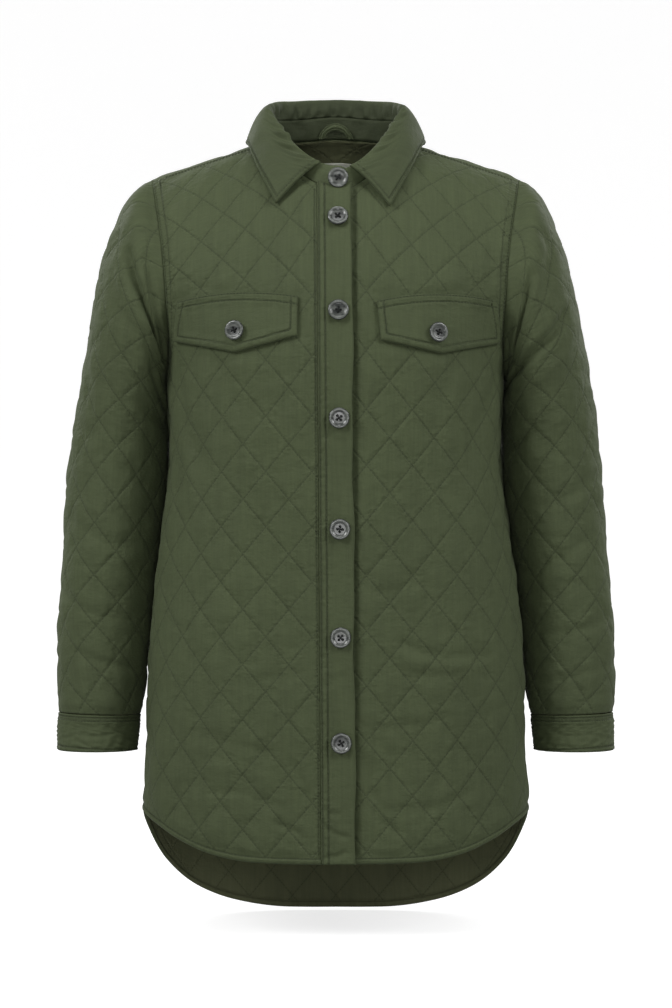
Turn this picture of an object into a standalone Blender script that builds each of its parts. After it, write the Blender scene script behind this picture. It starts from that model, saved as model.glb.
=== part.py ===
"""Quilted shirt-jacket, filled out as on a wearer, with nobody in it.

Axes: +Z up, the front faces -Y, the wearer's left is +X. The origin is the
middle of the neck, at the height where the jacket rests on the shoulders.
Each cut panel is laid out flat in cloth coordinates (across, down), ruled
with the quilting diamonds, and then placed on the garment's form: a diamond's
corners stay on the form, its middle is raised, and the inner side is plain.
"""
import math

import bmesh
import bpy
import numpy as np
from mathutils import Vector
from mathutils.geometry import delaunay_2d_cdt

MM = 0.001

# ---- cloth ---------------------------------------------------------------
SEAM_GAP = 0.3 * MM
WALL = 2.0 * MM            # quilted cloth along a sewn line
PUFF = 3.0 * MM            # rise of a diamond's middle
PLAIN_WALL = 2.5 * MM      # placket, flaps, collar
HEM_WALL = 3.4 * MM
DIAMOND_WIDE = 45 * MM
DIAMOND_TALL = 53 * MM
EDGE_CLEAR = 5 * MM        # quilting corners stay this far inside a cut edge
PRESSED = 16 * MM          # puffs fade out over this distance from a cut edge

# ---- shoulders and rows of the body --------------------------------------
SHOULDER_TOP = 34 * MM
SHOULDER_SLOPE = 0.344
SHOULDER_ROUND = 30 * MM
LEVEL_DROP = 300 * MM      # rows follow the shoulders above, and are level below
SHOULDER_SEAM = 12 * MM    # the seam lies this far in front of the ridge
ARMHOLE_DROP = 220 * MM
ARMHOLE_SHARE = 0.85       # of the body's depth that the armhole takes at the tip
SECTION_STEPS = 72

# drop below the shoulder ridge, half width at the seam edge (front, back),
# depth of the front and of the back from the side line, all in mm
BODY_ROWS = np.array([
    # drop, wide_front, wide_back, deep_front, deep_back
    (0,    183.0, 183.0, 124, 116),
    (30,   178.0, 180.0, 125, 118),
    (72,   171.5, 176.0, 126, 120),
    (132,  166.5, 171.5, 127, 120),
    (177,  164.5, 167.5, 127, 118),
    (220,  166.0, 166.0, 126, 116),
    (288,  164.5, 164.5, 125, 111),
    (313,  165.0, 165.0, 124, 109),
    (362,  170.0, 170.0, 123, 107),
    (420,  177.5, 177.5, 122, 107),
    (480,  183.5, 183.5, 122, 109),
    (550,  186.5, 186.5, 121, 112),
    (606,  188.4, 188.4, 120, 114),
    (658,  192.0, 192.0, 120, 115),
    (790,  192.3, 192.3, 120, 112)]) * MM

FRONT, BACK = -1, 1
ARCH = {  # how the shoulder rounds off into the chest and the back
    FRONT: dict(reach=230 * MM, height_power=1.8, depth_power=1.5, roundness=2.5, column=3, edge=1),
    BACK:  dict(reach=160 * MM, height_power=2.0, depth_power=2.6, roundness=2.4, column=4, edge=2)}

# ---- neck, hem -----------------------------------------------------------
NECK_HALF = 72 * MM
NECK_FRONT_DROP = 69 * MM  # how far the neck is cut down from the ridge, front and back
NECK_BACK_DROP = 7.5 * MM
NECK_BACK_TURN = 0.45      # share of half the neck that lies behind the shoulder seam
NECK_POWER = 2.2
NECK_FRONT_POWER = 0.92
NECK_CUT = 2.0 * MM        # the panels are cut this much wider than the neck line
HEM_SIDE = -658 * MM
HEM_FRONT = -700 * MM
HEM_BACK = -771.6 * MM
HEM_BAND = 6.5 * MM
HEM_PROUD = 0.7 * MM
HEM_ROWS = np.array([
    # share of the way to the side seam, rise of the front's and of the back's hem, as shares
    (0.00, 0.000, 0.00),
    (0.12, 0.000, 0.00),
    (0.24, 0.010, 0.01),
    (0.36, 0.055, 0.05),
    (0.50, 0.23, 0.14),
    (0.62, 0.50, 0.28),
    (0.74, 0.79, 0.50),
    (0.87, 0.97, 0.80),
    (1.00, 1.00, 1.00)])
HEM_STEPS = 16
SIDE_STEPS = 22

# drops at which the armhole has a point
ARMHOLE_DROPS = np.array([4, 14, 28, 45, 65, 87, 110, 133, 155, 175, 192, 205, 214, 220]) * MM

# ---- front opening -------------------------------------------------------
PLACKET_HALF = 16.5 * MM
PLACKET_TOP = -1.6 * MM    # middle of the placket at the neck and at the hem
PLACKET_FOOT = 2.7 * MM
PLACKET_PROUD = 0.8 * MM
PLACKET_LIFT = 3.4 * MM    # the right front laps over the left by this much
LIFT_FADE = 54 * MM
UNDERLAP = 12 * MM         # the left front runs this far past the middle

# ---- flaps: corners as (x, z) in mm, from the inner end of the top seam ------
FLAPS = {-1: ((36, -156.5), (151.5, -160), (155.5, -194.5), (96.5, -208), (36.5, -193)),
         1: ((39.5, -160), (153, -159.5), (157.5, -197.5), (101.5, -209), (42, -194.5))}
FLAP_STEPS = (8, 3, 4, 4, 3)
FLAP_CROWN = 5 * MM
FLAP_PROUD = 4.4 * MM
FLAP_PRESS = 18 * MM

# ---- quilting starts, in cloth coordinates, by panel --------------------------
FRONT_RIGHT_RULED = np.array([-22.5, 418]) * MM
FRONT_LEFT_RULED = np.array([29.5, 412]) * MM
BACK_RULED = np.array([0, 400]) * MM
SLEEVE_RULED = np.array([10, -60]) * MM

# ---- sleeves: rings below the armhole, in mm ----------------------------------
SLEEVE_RINGS = (
    # outer_x, outer_z, inner_x, inner_z, deep_front, deep_back, middle_y
    (200.0,  -43, 171.2, -230, 77, 83, 0),
    (218.8,  -78, 171.8, -237, 79, 82, 4),
    (235.3, -126, 170.2, -248, 81, 77, 11),
    (247.4, -182, 168.8, -264, 81, 70, 19),
    (257.4, -246, 168.2, -290, 79, 64, 25),
    (265.6, -310, 169.5, -330, 75, 59, 27),
    (271.6, -375, 175.6, -385, 69, 55, 26),
    (276.2, -440, 182.8, -445, 62, 51, 23),
    (278.8, -501, 188.6, -506, 54, 47, 17),
    (278.4, -536, 192.4, -541, 47, 43, 11),
    (277.4, -561, 195.2, -563, 41, 41, 6))
RING_STEPS = 6
CUFF_RINGS = (
    (277.7, -562.0, 195.2, -564, 41, 41, 6),
    (278.8, -574.0, 196.0, -575, 41, 41, 6),
    (278.8, -588.0, 197.4, -588, 41, 41, 5),
    (278.8, -599.5, 198.5, -599.5, 41, 41, 5))
CUFF_STEPS = 36

# ---- folds: troughs from one cloth point to another, in mm ----------------------
# across, down, across, down, depth, half width
FRONT_RIGHT_FOLDS = (
    (-172, 268, -133, 363, 3.5, 18),
    (-118, 256, -84, 318, 2.5, 16),
    (-60, 640, -150, 622, 2.5, 16))
FRONT_LEFT_FOLDS = (
    (186, 262, 140, 366, 3.5, 18),
    (60, 532, 158, 541, 2.5, 16))
SLEEVE_RIGHT_FOLDS = (
    (88, -446, 194, -370, 5.5, 16),
    (40, -196, 122, -172, 3.0, 16),
    (-60, -300, -150, -330, 3.0, 16))
SLEEVE_LEFT_FOLDS = (
    (104, -462, 166, -408, 4.5, 14),
    (76, -412, 214, -348, 5.0, 16),
    (46, -240, 128, -214, 3.0, 16),
    (-70, -280, -150, -316, 3.0, 16))

# ---- collar ----------------------------------------------------------------------
NECK_AXIS_Y = -8 * MM
STAND_IN = 2.0 * MM        # the stand's outer face lies this far inside the neck line
STAND_TALL = 21.5 * MM
STAND_LEAN = 3 * MM
STAND_LAP_OUT = 3.4 * MM   # its right end stands out and up over the left one
STAND_LAP_UP = 3.2 * MM
STAND_END = 12.5 * MM      # each end runs this far past the middle
STAND_END_ROUND = 9 * MM
LEAF_CORNER = 14.5 * MM    # from the middle to the leaf's front corner
LEAF_OFF = 4.6 * MM        # middle of the leaf above the body along its outer edge
LEAF_HUG = 0.8 * MM        # it lies this much closer over the shoulder seam
LEAF_SIDE = 90.5 * MM      # reach of the leaf over the shoulder and down the back
LEAF_BOW = 4 * MM          # its side edge bows out by this much between shoulder and tip
LEAF_BACK = 66 * MM
LEAF_TIPS = {-1: (57.5 * MM, -64 * MM), 1: (52.5 * MM, -66.5 * MM)}
LEAF_ROWS = np.array([
    # rise and droop are the heights of the curve's two handles; it starts this far beside and
    # above the stand's top; all in mm
    # turn, rise, droop, beside, above
    (0.00, 30, 50, 0.0, 0.5),
    (0.25, 35, 42, 0.0, 0.5),
    (0.45, 34, 12, 0.2, 0.6),
    (0.60, 25, 10, 1.2, 1.4),
    (0.75, 14, 8, 2.6, 1.4),
    (0.93, 6, 3, 3.6, 0.4)])

# ---- loop and label ----------------------------------------------------------------
LOOP_HALF = 20 * MM
LOOP_RISE = 15 * MM
LOOP_WIDE = 7 * MM
LOOP_WALL = 1.6 * MM
LABEL_HALF = 16 * MM
LABEL_TOP = -2 * MM
LABEL_TALL = 22 * MM
LABEL_WALL = 0.8 * MM
LABEL_CLEAR = 2.0 * MM

# ---- buttons -------------------------------------------------------------------------
BUTTON_PROFILE = (  # radius, height above the back face, for a 20 mm button
    (0.0, 0.0), (8.2, 0.0), (10.0, 1.4), (10.0, 2.6), (9.0, 3.6), (7.6, 3.5), (6.2, 2.5), (0.0, 2.3))
BUTTON_SIDES = 18
BUTTON_FLOAT = 1.4 * MM  # length of the thread shank
HOLE_RADIUS = 1.1 * MM
HOLE_OFFSET = 2.1 * MM
STAND_BUTTON = (2.2 * MM, -36 * MM)
PLACKET_BUTTONS = (-78.2, -169.2, -271.6, -378.0, -482.0, -583.2)  # heights in mm
BUTTON_SIDE = 3.4 * MM     # the buttons lie this far towards the placket's free edge
FLAP_BUTTONS = {-1: (95.1 * MM, -187.4 * MM), 1: (96.5 * MM, -189.2 * MM)}
FLAP_BUTTON_SCALE = 0.95


def smooth_curve(xs, ys):
    """A smooth function through the points (xs, ys), flat or straight beyond them."""
    slopes = np.gradient(ys, xs)

    def at(x):
        x = np.clip(x, xs[0], xs[-1])
        low = np.clip(np.searchsorted(xs, x) - 1, 0, len(xs) - 2)
        span = xs[low + 1] - xs[low]
        u = (x - xs[low]) / span
        rise = u * u * (3 - 2 * u)
        return (ys[low] * (1 - rise) + ys[low + 1] * rise
                + span * slopes[low] * u * (1 - u) ** 2
                - span * slopes[low + 1] * u * u * (1 - u))
    return at


ROW = [smooth_curve(BODY_ROWS[:, 0], BODY_ROWS[:, column]) for column in range(5)]


def shoulder_height(x):
    """Height of the shoulder ridge above the origin at a distance x from the middle."""
    return SHOULDER_TOP - SHOULDER_SLOPE * np.hypot(x, SHOULDER_ROUND)


def row_depth(face, drop):
    """How far the middle of a row stands in front of, or behind, the side line."""
    arch = ARCH[face]
    left = np.clip(1 - drop / arch["reach"], 0, 1)
    share = (1 - left ** arch["height_power"]) ** (1 / arch["depth_power"])
    return ROW[arch["column"]](drop) * share


def armhole_share(drop):
    """Depth of the armhole's edge as a share of the row's own depth."""
    return ARMHOLE_SHARE * np.clip(1 - (drop / ARMHOLE_DROP) ** 2.2, 0, 1) ** 0.6


def half_row(face, drops):
    """Points along half of each row, from its middle to its seam edge, with distances along it."""
    drops = np.atleast_1d(drops)[:, None]
    arch = ARCH[face]
    n = arch["roundness"]
    edge_share = armhole_share(drops)
    full = ROW[arch["edge"]](drops) / (1 - edge_share ** n) ** (1 / n)
    depth = row_depth(face, drops)
    end = np.arccos(edge_share ** (n / 2))
    turn = end * np.linspace(0, 1, SECTION_STEPS)[None, :]
    x = full * np.sin(turn) ** (2 / n)
    y = face * depth * np.cos(turn) ** (2 / n)
    fade = np.clip(drops / LEVEL_DROP, 0, 1)
    z = shoulder_height(x) * (1 - fade * fade * (3 - 2 * fade)) - drops
    points = np.stack([x, y, z], axis=2)
    steps = np.linalg.norm(np.diff(points, axis=1), axis=2)
    along = np.concatenate([np.zeros((len(drops), 1)), np.cumsum(steps, axis=1)], axis=1)
    return points, along


def read_rows(points, along, distance):
    """The point of each row at its own distance along it."""
    last = along.shape[1] - 2
    low = np.clip((along < distance[:, None]).sum(axis=1) - 1, 0, last)
    rows = np.arange(len(distance))
    start, stop = along[rows, low], along[rows, low + 1]
    u = np.clip((distance - start) / np.maximum(stop - start, 1e-9), 0, 1)[:, None]
    return points[rows, low] * (1 - u) + points[rows, low + 1] * u


def drop_table(face):
    """Cloth distance from the ridge against drop, measured over the middle of the shoulder."""
    drops = np.concatenate([np.linspace(0, 1, 60) ** 2 * 60 * MM, np.linspace(61, 790, 240) * MM])
    column = np.full(len(drops), 95 * MM)
    line = read_rows(*half_row(face, drops), column)
    steps = np.linalg.norm(np.diff(line, axis=0), axis=1)
    return drops, np.concatenate([[0], np.cumsum(steps)])


DROPS = {face: drop_table(face) for face in (FRONT, BACK)}


def down_of_drop(face, drop):
    """Cloth distance from the ridge of the row with this drop."""
    return np.interp(drop, *DROPS[face])


def edge_across(face, down):
    """Distance along a row from its middle to its seam edge."""
    drops = np.interp(down, DROPS[face][1], DROPS[face][0])
    return half_row(face, drops)[1][:, -1]


def on_half(face, across, down):
    """Points of the form on one face of the body."""
    drops = np.interp(down, DROPS[face][1], DROPS[face][0])
    points = read_rows(*half_row(face, drops), np.abs(across))
    points[:, 0] *= np.where(across < 0, -1, 1)
    return points


def on_body(face, across, down):
    """Points and outward normals of the body. Behind a negative down lies the other face."""
    across, down = np.broadcast_arrays(np.atleast_1d(across).astype(float),
                                       np.atleast_1d(down).astype(float))

    def points(a, d):
        over = d < 0
        result = on_half(face, a, np.abs(d))
        if over.any():
            result[over] = on_half(-face, a[over], -d[over])
        return result

    step = 0.5 * MM
    own_face = np.where(down < 0, -face, face)
    limit = np.where(own_face == FRONT, edge_across(FRONT, np.abs(down)),
                     edge_across(BACK, np.abs(down)))
    outer = np.minimum(np.abs(across) + step, limit)
    sign = np.where(across < 0, -1, 1)
    run = (points(sign * outer, down) - points(sign * (outer - 2 * step), down)) * sign[:, None]
    fall = points(across, down + step) - points(across, down - step)
    normal = np.cross(run, fall) * face
    normal /= np.linalg.norm(normal, axis=1)[:, None]
    return points(across, down), normal


def placket_middle(z):
    """The placket drifts a little to the wearer's left on its way down."""
    share = np.clip((z - HEM_FRONT) / (-46 * MM - HEM_FRONT), 0, 1)
    return PLACKET_FOOT + (PLACKET_TOP - PLACKET_FOOT) * share


def lift(across):
    """The right front stands out over the left front near the opening."""
    share = np.clip((np.abs(across) - PLACKET_HALF) / LIFT_FADE, 0, 1)
    return PLACKET_LIFT * (1 - share * share * (3 - 2 * share))


# ---- folds: where the cloth of a panel is drawn in or out -----------------
class Folds:
    """Troughs along short lines of cloth, each a row (across, down, across, down, depth, half width)."""

    def __init__(self, rows=()):
        self.rows = [np.array(row) * MM for row in rows]

    def depth(self, across, down):
        """How far the cloth sinks at a point, over all folds together."""
        total = np.zeros(len(across))
        for a0, d0, a1, d1, depth, half in self.rows:
            line = np.array([a1 - a0, d1 - d0])
            offset = np.stack([across - a0, down - d0], axis=1)
            share = np.clip(offset @ line / (line @ line), 0, 1)
            gap = np.linalg.norm(offset - share[:, None] * line, axis=1) / half
            total += depth * np.sin(np.pi * np.clip(share, 0.12, 0.88)) * np.clip(1 - gap, 0, 1)
        return total

    def lines(self):
        """The bottom of each fold as a line of four cloth points."""
        shares = np.linspace(0.02, 0.98, 4)[:, None]
        return [np.array([a0, d0]) * (1 - shares) + np.array([a1, d1]) * shares
                for a0, d0, a1, d1, _, _ in self.rows]


# ---- cutting and quilting a panel -----------------------------------------
def distance_to_edge(points, loop):
    """Distance of each cloth point from the cut edge."""
    start, stop = loop, np.roll(loop, -1, axis=0)
    line = stop - start
    offset = points[:, None, :] - start[None, :, :]
    share = np.clip((offset * line).sum(2) / np.maximum((line * line).sum(1), 1e-12), 0, 1)
    return np.linalg.norm(offset - share[:, :, None] * line, axis=2).min(axis=1)


def inside_edge(points, loop):
    """Which cloth points lie inside the cut edge."""
    start, stop = loop, np.roll(loop, -1, axis=0)
    a, d = points[:, 0:1], points[:, 1:2]
    crosses = (start[:, 1] > d) != (stop[:, 1] > d)
    rise = np.where(stop[:, 1] == start[:, 1], 1e-12, stop[:, 1] - start[:, 1])
    where = start[:, 0] + (d - start[:, 1]) * (stop[:, 0] - start[:, 0]) / rise
    return ((a < where) & crosses).sum(axis=1) % 2 == 1


def quilting(loop, first, folds):
    """Corners, middles and sewn lines of the diamonds inside a cut edge."""
    low, high = loop.min(axis=0), loop.max(axis=0)
    half = np.array([DIAMOND_WIDE / 2, DIAMOND_TALL / 2])
    start = np.floor((low - first) / half).astype(int)
    stop = np.ceil((high - first) / half).astype(int)
    number, points, pairs = {}, [], []
    for i in range(start[0], stop[0] + 1):
        for j in range(start[1], stop[1] + 1):
            point = first + half * (i, j)
            if not inside_edge(point[None], loop)[0] or distance_to_edge(point[None], loop)[0] < EDGE_CLEAR:
                continue
            if any(distance_to_edge(point[None], line)[0] < EDGE_CLEAR for line in folds.lines()):
                continue
            number[i, j] = len(points)
            points.append(point)
    for (i, j), here in number.items():
        for slant in (-1, 1):
            there = number.get((i + 1, j + slant))
            if (i + j) % 2 == 0 and there is not None:
                pairs.append((here, there))
    raised = [(i + j) % 2 == 1 for i, j in number]
    return points, raised, pairs


def cut_panel(loop, first, folds, quilted):
    """Triangles of a flat panel, with the rise of each of its points from 0 to 1."""
    points = [tuple(p) for p in loop]
    edges = [(k, (k + 1) % len(loop)) for k in range(len(loop))]
    raised = [False] * len(loop)
    if quilted:
        corners, ups, pairs = quilting(loop, first, folds)
        edges += [(a + len(points), b + len(points)) for a, b in pairs]
        points += [tuple(p) for p in corners]
        raised += ups
    for line in folds.lines():
        edges += [(len(points) + k, len(points) + k + 1) for k in range(len(line) - 1)]
        points += [tuple(p) for p in line]
        raised += [False] * len(line)
    verts, _, faces, origins, _, _ = delaunay_2d_cdt([Vector(p) for p in points], edges, [], 0, 1e-7)
    flat = np.array([tuple(v) for v in verts])
    up = np.array([any(raised[k] for k in source) for source in origins], dtype=float)
    faces = np.array([tuple(f) for f in faces])
    faces = faces[inside_edge(flat[faces].mean(axis=1), loop)]
    used, faces = np.unique(faces, return_inverse=True)
    flat, up = flat[used], up[used]
    rise = up * np.clip(distance_to_edge(flat, loop) / PRESSED, 0, 1)
    return flat, rise, faces.reshape(-1, 3)


def close_wall(name, outer, inner, faces, material):
    """One closed body from an outer and an inner skin with the same triangles."""
    count = len(outer)
    a, b, c = faces.T
    normal = np.cross(outer[b] - outer[a], outer[c] - outer[a]).sum(axis=0)
    if (normal * (outer - inner).sum(axis=0)).sum() < 0:
        faces = faces[:, ::-1]
    sides = {}
    for face in faces:
        for k in range(3):
            sides[face[k], face[(k + 1) % 3]] = True
    rim = [(p, q) for p, q in sides if (q, p) not in sides]
    polygons = [tuple(f) for f in faces]
    polygons += [tuple(f[::-1] + count) for f in faces]
    polygons += [(q, p, p + count, q + count) for p, q in rim]
    mesh = bpy.data.meshes.new(name)
    mesh.from_pydata(np.concatenate([outer, inner]).tolist(), [], [tuple(map(int, p)) for p in polygons])
    mesh.validate()
    item = bpy.data.objects.new(name, mesh)
    bpy.context.scene.collection.objects.link(item)
    mesh.materials.append(material)
    return item


def sew_panel(name, loop, place, material, first=(0, 0), folds=None, quilted=True,
              wall=WALL, out=0.0, over=None, press=None, puff=PUFF):
    """A panel placed on the form: outer points raised by the quilting, inner points plain."""
    folds = folds or Folds()
    flat, rise, faces = cut_panel(np.array(loop), np.array(first), folds, quilted)
    if press is not None:
        rise = rise * press(flat)
    points, normal = place(flat[:, 0], flat[:, 1])
    base = out - folds.depth(flat[:, 0], flat[:, 1])
    if over is not None:
        base = base + over(flat[:, 0])
    outer = points + normal * (base + rise * puff)[:, None]
    inner = points + normal * (base - wall)[:, None]
    return close_wall(name, outer, inner, faces, material)


# ---- places on the body, given as they are seen from the front or the back --
def cloth_of(face, x, z):
    """Cloth coordinates of the point of a face that lies at x and z."""
    drop = -z
    for _ in range(30):
        fade = np.clip(drop / LEVEL_DROP, 0, 1)
        drop = max(shoulder_height(x) * (1 - fade * fade * (3 - 2 * fade)) - z, 0)
    points, along = half_row(face, drop)
    across = np.interp(abs(x), points[0, :, 0], along[0])
    return math.copysign(across, x), float(down_of_drop(face, drop))


def neck_cloth(turn, spread=0.0):
    """Face, across and down of the neck's edge: turn 0 is the middle of the back, 1 and -1 of the front."""
    size = abs(turn)
    half = NECK_HALF + spread
    if size <= NECK_BACK_TURN:
        angle = size / NECK_BACK_TURN * math.pi / 2
        reach = down_of_drop(BACK, NECK_BACK_DROP) + spread + SHOULDER_SEAM
        down = reach * math.cos(angle) ** (2 / NECK_POWER) - SHOULDER_SEAM
        return BACK, math.copysign(half * math.sin(angle), turn), down
    angle = (size - NECK_BACK_TURN) / (1 - NECK_BACK_TURN) * math.pi / 2
    reach = down_of_drop(FRONT, NECK_FRONT_DROP) + spread - SHOULDER_SEAM
    down = reach * math.sin(angle) ** (2 / NECK_FRONT_POWER) + SHOULDER_SEAM
    return FRONT, math.copysign(1, turn) * half * math.cos(angle), down


def neck_down(across):
    """Cloth distance from the ridge to the neck's cut edge on the front, at this distance across."""
    share = min(abs(across) / (NECK_HALF + NECK_CUT), 1)
    reach = down_of_drop(FRONT, NECK_FRONT_DROP) + NECK_CUT - SHOULDER_SEAM
    return reach * (1 - share ** 2) ** (1 / NECK_FRONT_POWER) + SHOULDER_SEAM


HEM_RISE = {face: smooth_curve(HEM_ROWS[:, 0], HEM_ROWS[:, column]) for face, column in ((FRONT, 1), (BACK, 2))}


def hem_height(face, share):
    """Height of the hem at a share of the way from the middle to the side seam."""
    middle = HEM_FRONT if face == FRONT else HEM_BACK
    rise = float(HEM_RISE[face](share))
    return middle + (HEM_SIDE - middle) * rise


def hem_point(face, across, up):
    """Cloth point of the hem, or of a line this far above it, at a distance across."""
    down = down_of_drop(face, -HEM_SIDE)
    for _ in range(4):
        share = min(abs(across) / edge_across(face, down)[0], 1)
        down = down_of_drop(face, -hem_height(face, share) - up)
    return across, float(down)


def placket_edge(side, down):
    """Distance across of the placket's sewn (-1) or free (1) edge."""
    drop = np.interp(down, DROPS[FRONT][1], DROPS[FRONT][0])
    return placket_middle(-drop) + side * PLACKET_HALF


def armhole_line(face, seam_down):
    """Cloth points of the armhole's edge, from the shoulder seam, or the ridge, to the underarm."""
    start = [seam_down, 0.0] if seam_down < 0 else [seam_down]
    downs = start + [float(down_of_drop(face, drop)) for drop in ARMHOLE_DROPS
                     if down_of_drop(face, drop) > max(seam_down, 0) + 4 * MM]
    return np.array([(float(edge_across(face if d >= 0 else -face, abs(d))[0]), d) for d in downs])


def trimmed(line, by):
    """A cloth line moved square to itself, into the panel that lies on its lower, inner side."""
    along = np.gradient(line, axis=0)
    along /= np.linalg.norm(along, axis=1)[:, None]
    along[-1] = (1, 0)
    return line + np.stack([-along[:, 1], along[:, 0]], axis=1) * by


# ---- the cut panels ---------------------------------------------------------
def shoulder_seam_line(down):
    """The shoulder seam from the neck to the armhole, at this distance from the ridge."""
    tip = float(edge_across(FRONT, abs(down))[0]) - SEAM_GAP / 2
    return [(across, down) for across in np.linspace(NECK_HALF + NECK_CUT, tip, 7)]


def side_line(face, up):
    """The side seam from just below the underarm to just above the hem."""
    drops = np.linspace(ARMHOLE_DROP + SEAM_GAP / 2, -HEM_SIDE - up, SIDE_STEPS)
    return [(float(edge_across(face, down)[0]) - SEAM_GAP / 2, float(down))
            for down in down_of_drop(face, drops)]


def front_loop(inner):
    """Cut edge of a front, on the +X side; inner gives its middle edge at a distance down."""
    down = SHOULDER_SEAM + SEAM_GAP / 2
    top = inner(neck_down(0))
    neck = [(across, neck_down(across)) for across in
            (NECK_HALF + NECK_CUT) * np.cos(np.radians(np.linspace(8, 90, 10)))]
    neck = [p for p in neck if p[0] > top + 4 * MM] + [(top, neck_down(top))]
    side = side_line(FRONT, HEM_BAND + SEAM_GAP)
    steps = hem_steps(FRONT, inner(side[-1][1]))
    hem = [hem_point(FRONT, across, HEM_BAND + SEAM_GAP) for across in steps[1:]]
    edge = [(inner(d), d) for d in np.linspace(hem[-1][1], neck[-1][1], 34)[1:-1]]
    armhole = list(trimmed(armhole_line(FRONT, down), SEAM_GAP / 2))
    return shoulder_seam_line(down) + armhole[1:-1] + side + hem + edge + neck[::-1]


def back_loop():
    """Cut edge of the back; it runs over the ridge to the shoulder seam."""
    down = -SHOULDER_SEAM + SEAM_GAP / 2
    neck = [neck_cloth(turn, NECK_CUT)[1:] for turn in np.linspace(0, NECK_BACK_TURN, 8)[:-1]]
    side = side_line(BACK, HEM_BAND + SEAM_GAP)
    hem = [hem_point(BACK, across, HEM_BAND + SEAM_GAP) for across in hem_steps(BACK, 0)[1:]]
    armhole = list(trimmed(armhole_line(BACK, down), SEAM_GAP / 2))
    half = neck[1:] + shoulder_seam_line(down) + armhole[1:-1] + side + hem[:-1]
    return [neck[0]] + half + [hem[-1]] + [(-across, d) for across, d in half[::-1]]


def hem_steps(face, inner):
    """Distances across at which a hem has a point, from the side seam to its inner end."""
    return np.linspace(side_line(face, HEM_BAND + SEAM_GAP)[-1][0], inner, HEM_STEPS)


def hem_loop(face, steps):
    """Outline of a hem band that has a point at each of these distances across."""
    return ([hem_point(face, across, HEM_BAND) for across in steps]
            + [hem_point(face, across, 0) for across in steps[::-1]])


def on_front(across, down):
    """Points and outward normals of the fronts."""
    return on_body(FRONT, across, down)


def on_back(across, down):
    """Points and outward normals of the back."""
    return on_body(BACK, across, down)


def mirrored(loop):
    """The same outline on the other side of the middle."""
    return [(-across, down) for across, down in loop]


def flap_loop(side):
    """Outline of a flap: curved top seam, straight ends and a blunt point below."""
    corners = [cloth_of(FRONT, side * x * MM, z * MM) for x, z in FLAPS[side]]
    points = []
    for k, (start, stop) in enumerate(zip(corners, corners[1:] + corners[:1])):
        count = FLAP_STEPS[k]
        bow = FLAP_CROWN if k == 0 else 0
        for u in np.arange(count) / count:
            points.append((start[0] + (stop[0] - start[0]) * u,
                           start[1] + (stop[1] - start[1]) * u - bow * 4 * u * (1 - u)))
    return points


def make_body(quilted, plain):
    """Fronts, back, placket, flaps and hem bands."""
    right_inner = lambda down: -placket_edge(-1, down) + SEAM_GAP
    left_inner = lambda down: -UNDERLAP
    flaps = {side: np.array(flap_loop(side)) for side in (-1, 1)}

    def press(side):
        """Quilting lies flat under the flap and, on the left front, under the placket."""
        def share(flat):
            under = inside_edge(flat, flaps[side]) | (distance_to_edge(flat, flaps[side]) < FLAP_PRESS)
            lapped = np.clip((flat[:, 0] - 18 * MM) / (12 * MM), 0, 1) if side == 1 else 1
            return np.where(under, 0, 1) * lapped
        return share

    sew_panel("front_right", mirrored(front_loop(right_inner)), on_front, quilted,
              first=FRONT_RIGHT_RULED, folds=Folds(FRONT_RIGHT_FOLDS), over=lift, press=press(-1))
    sew_panel("front_left", front_loop(left_inner), on_front, quilted,
              first=FRONT_LEFT_RULED, folds=Folds(FRONT_LEFT_FOLDS), press=press(1))
    sew_panel("back", back_loop(), on_back, quilted, first=BACK_RULED)

    hem = dict(material=plain, quilted=False, wall=HEM_WALL, out=HEM_PROUD)
    foot = right_inner(float(down_of_drop(FRONT, -HEM_FRONT)))
    sew_panel("hem_front_right", mirrored(hem_loop(FRONT, hem_steps(FRONT, foot))), on_front, over=lift, **hem)
    sew_panel("hem_front_left", hem_loop(FRONT, hem_steps(FRONT, -UNDERLAP)), on_front, **hem)
    back_steps = hem_steps(BACK, 0)
    sew_panel("hem_back", hem_loop(BACK, np.concatenate([back_steps, -back_steps[-2::-1]])), on_back, **hem)

    downs = np.linspace(neck_down(0), hem_point(FRONT, 0, 0)[1], 30)
    loop = [(placket_edge(1, d), d) for d in downs] + [(placket_edge(-1, d), d) for d in downs[::-1]]
    sew_panel("placket", loop, on_front, plain, quilted=False, wall=PLAIN_WALL, out=PLACKET_PROUD, over=lift)
    for side, word in ((-1, "right"), (1, "left")):
        sew_panel("flap_" + word, flaps[side], on_front, plain, wall=PLAIN_WALL, out=FLAP_PROUD, puff=0,
                  over=lift if side < 0 else None)


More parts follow.
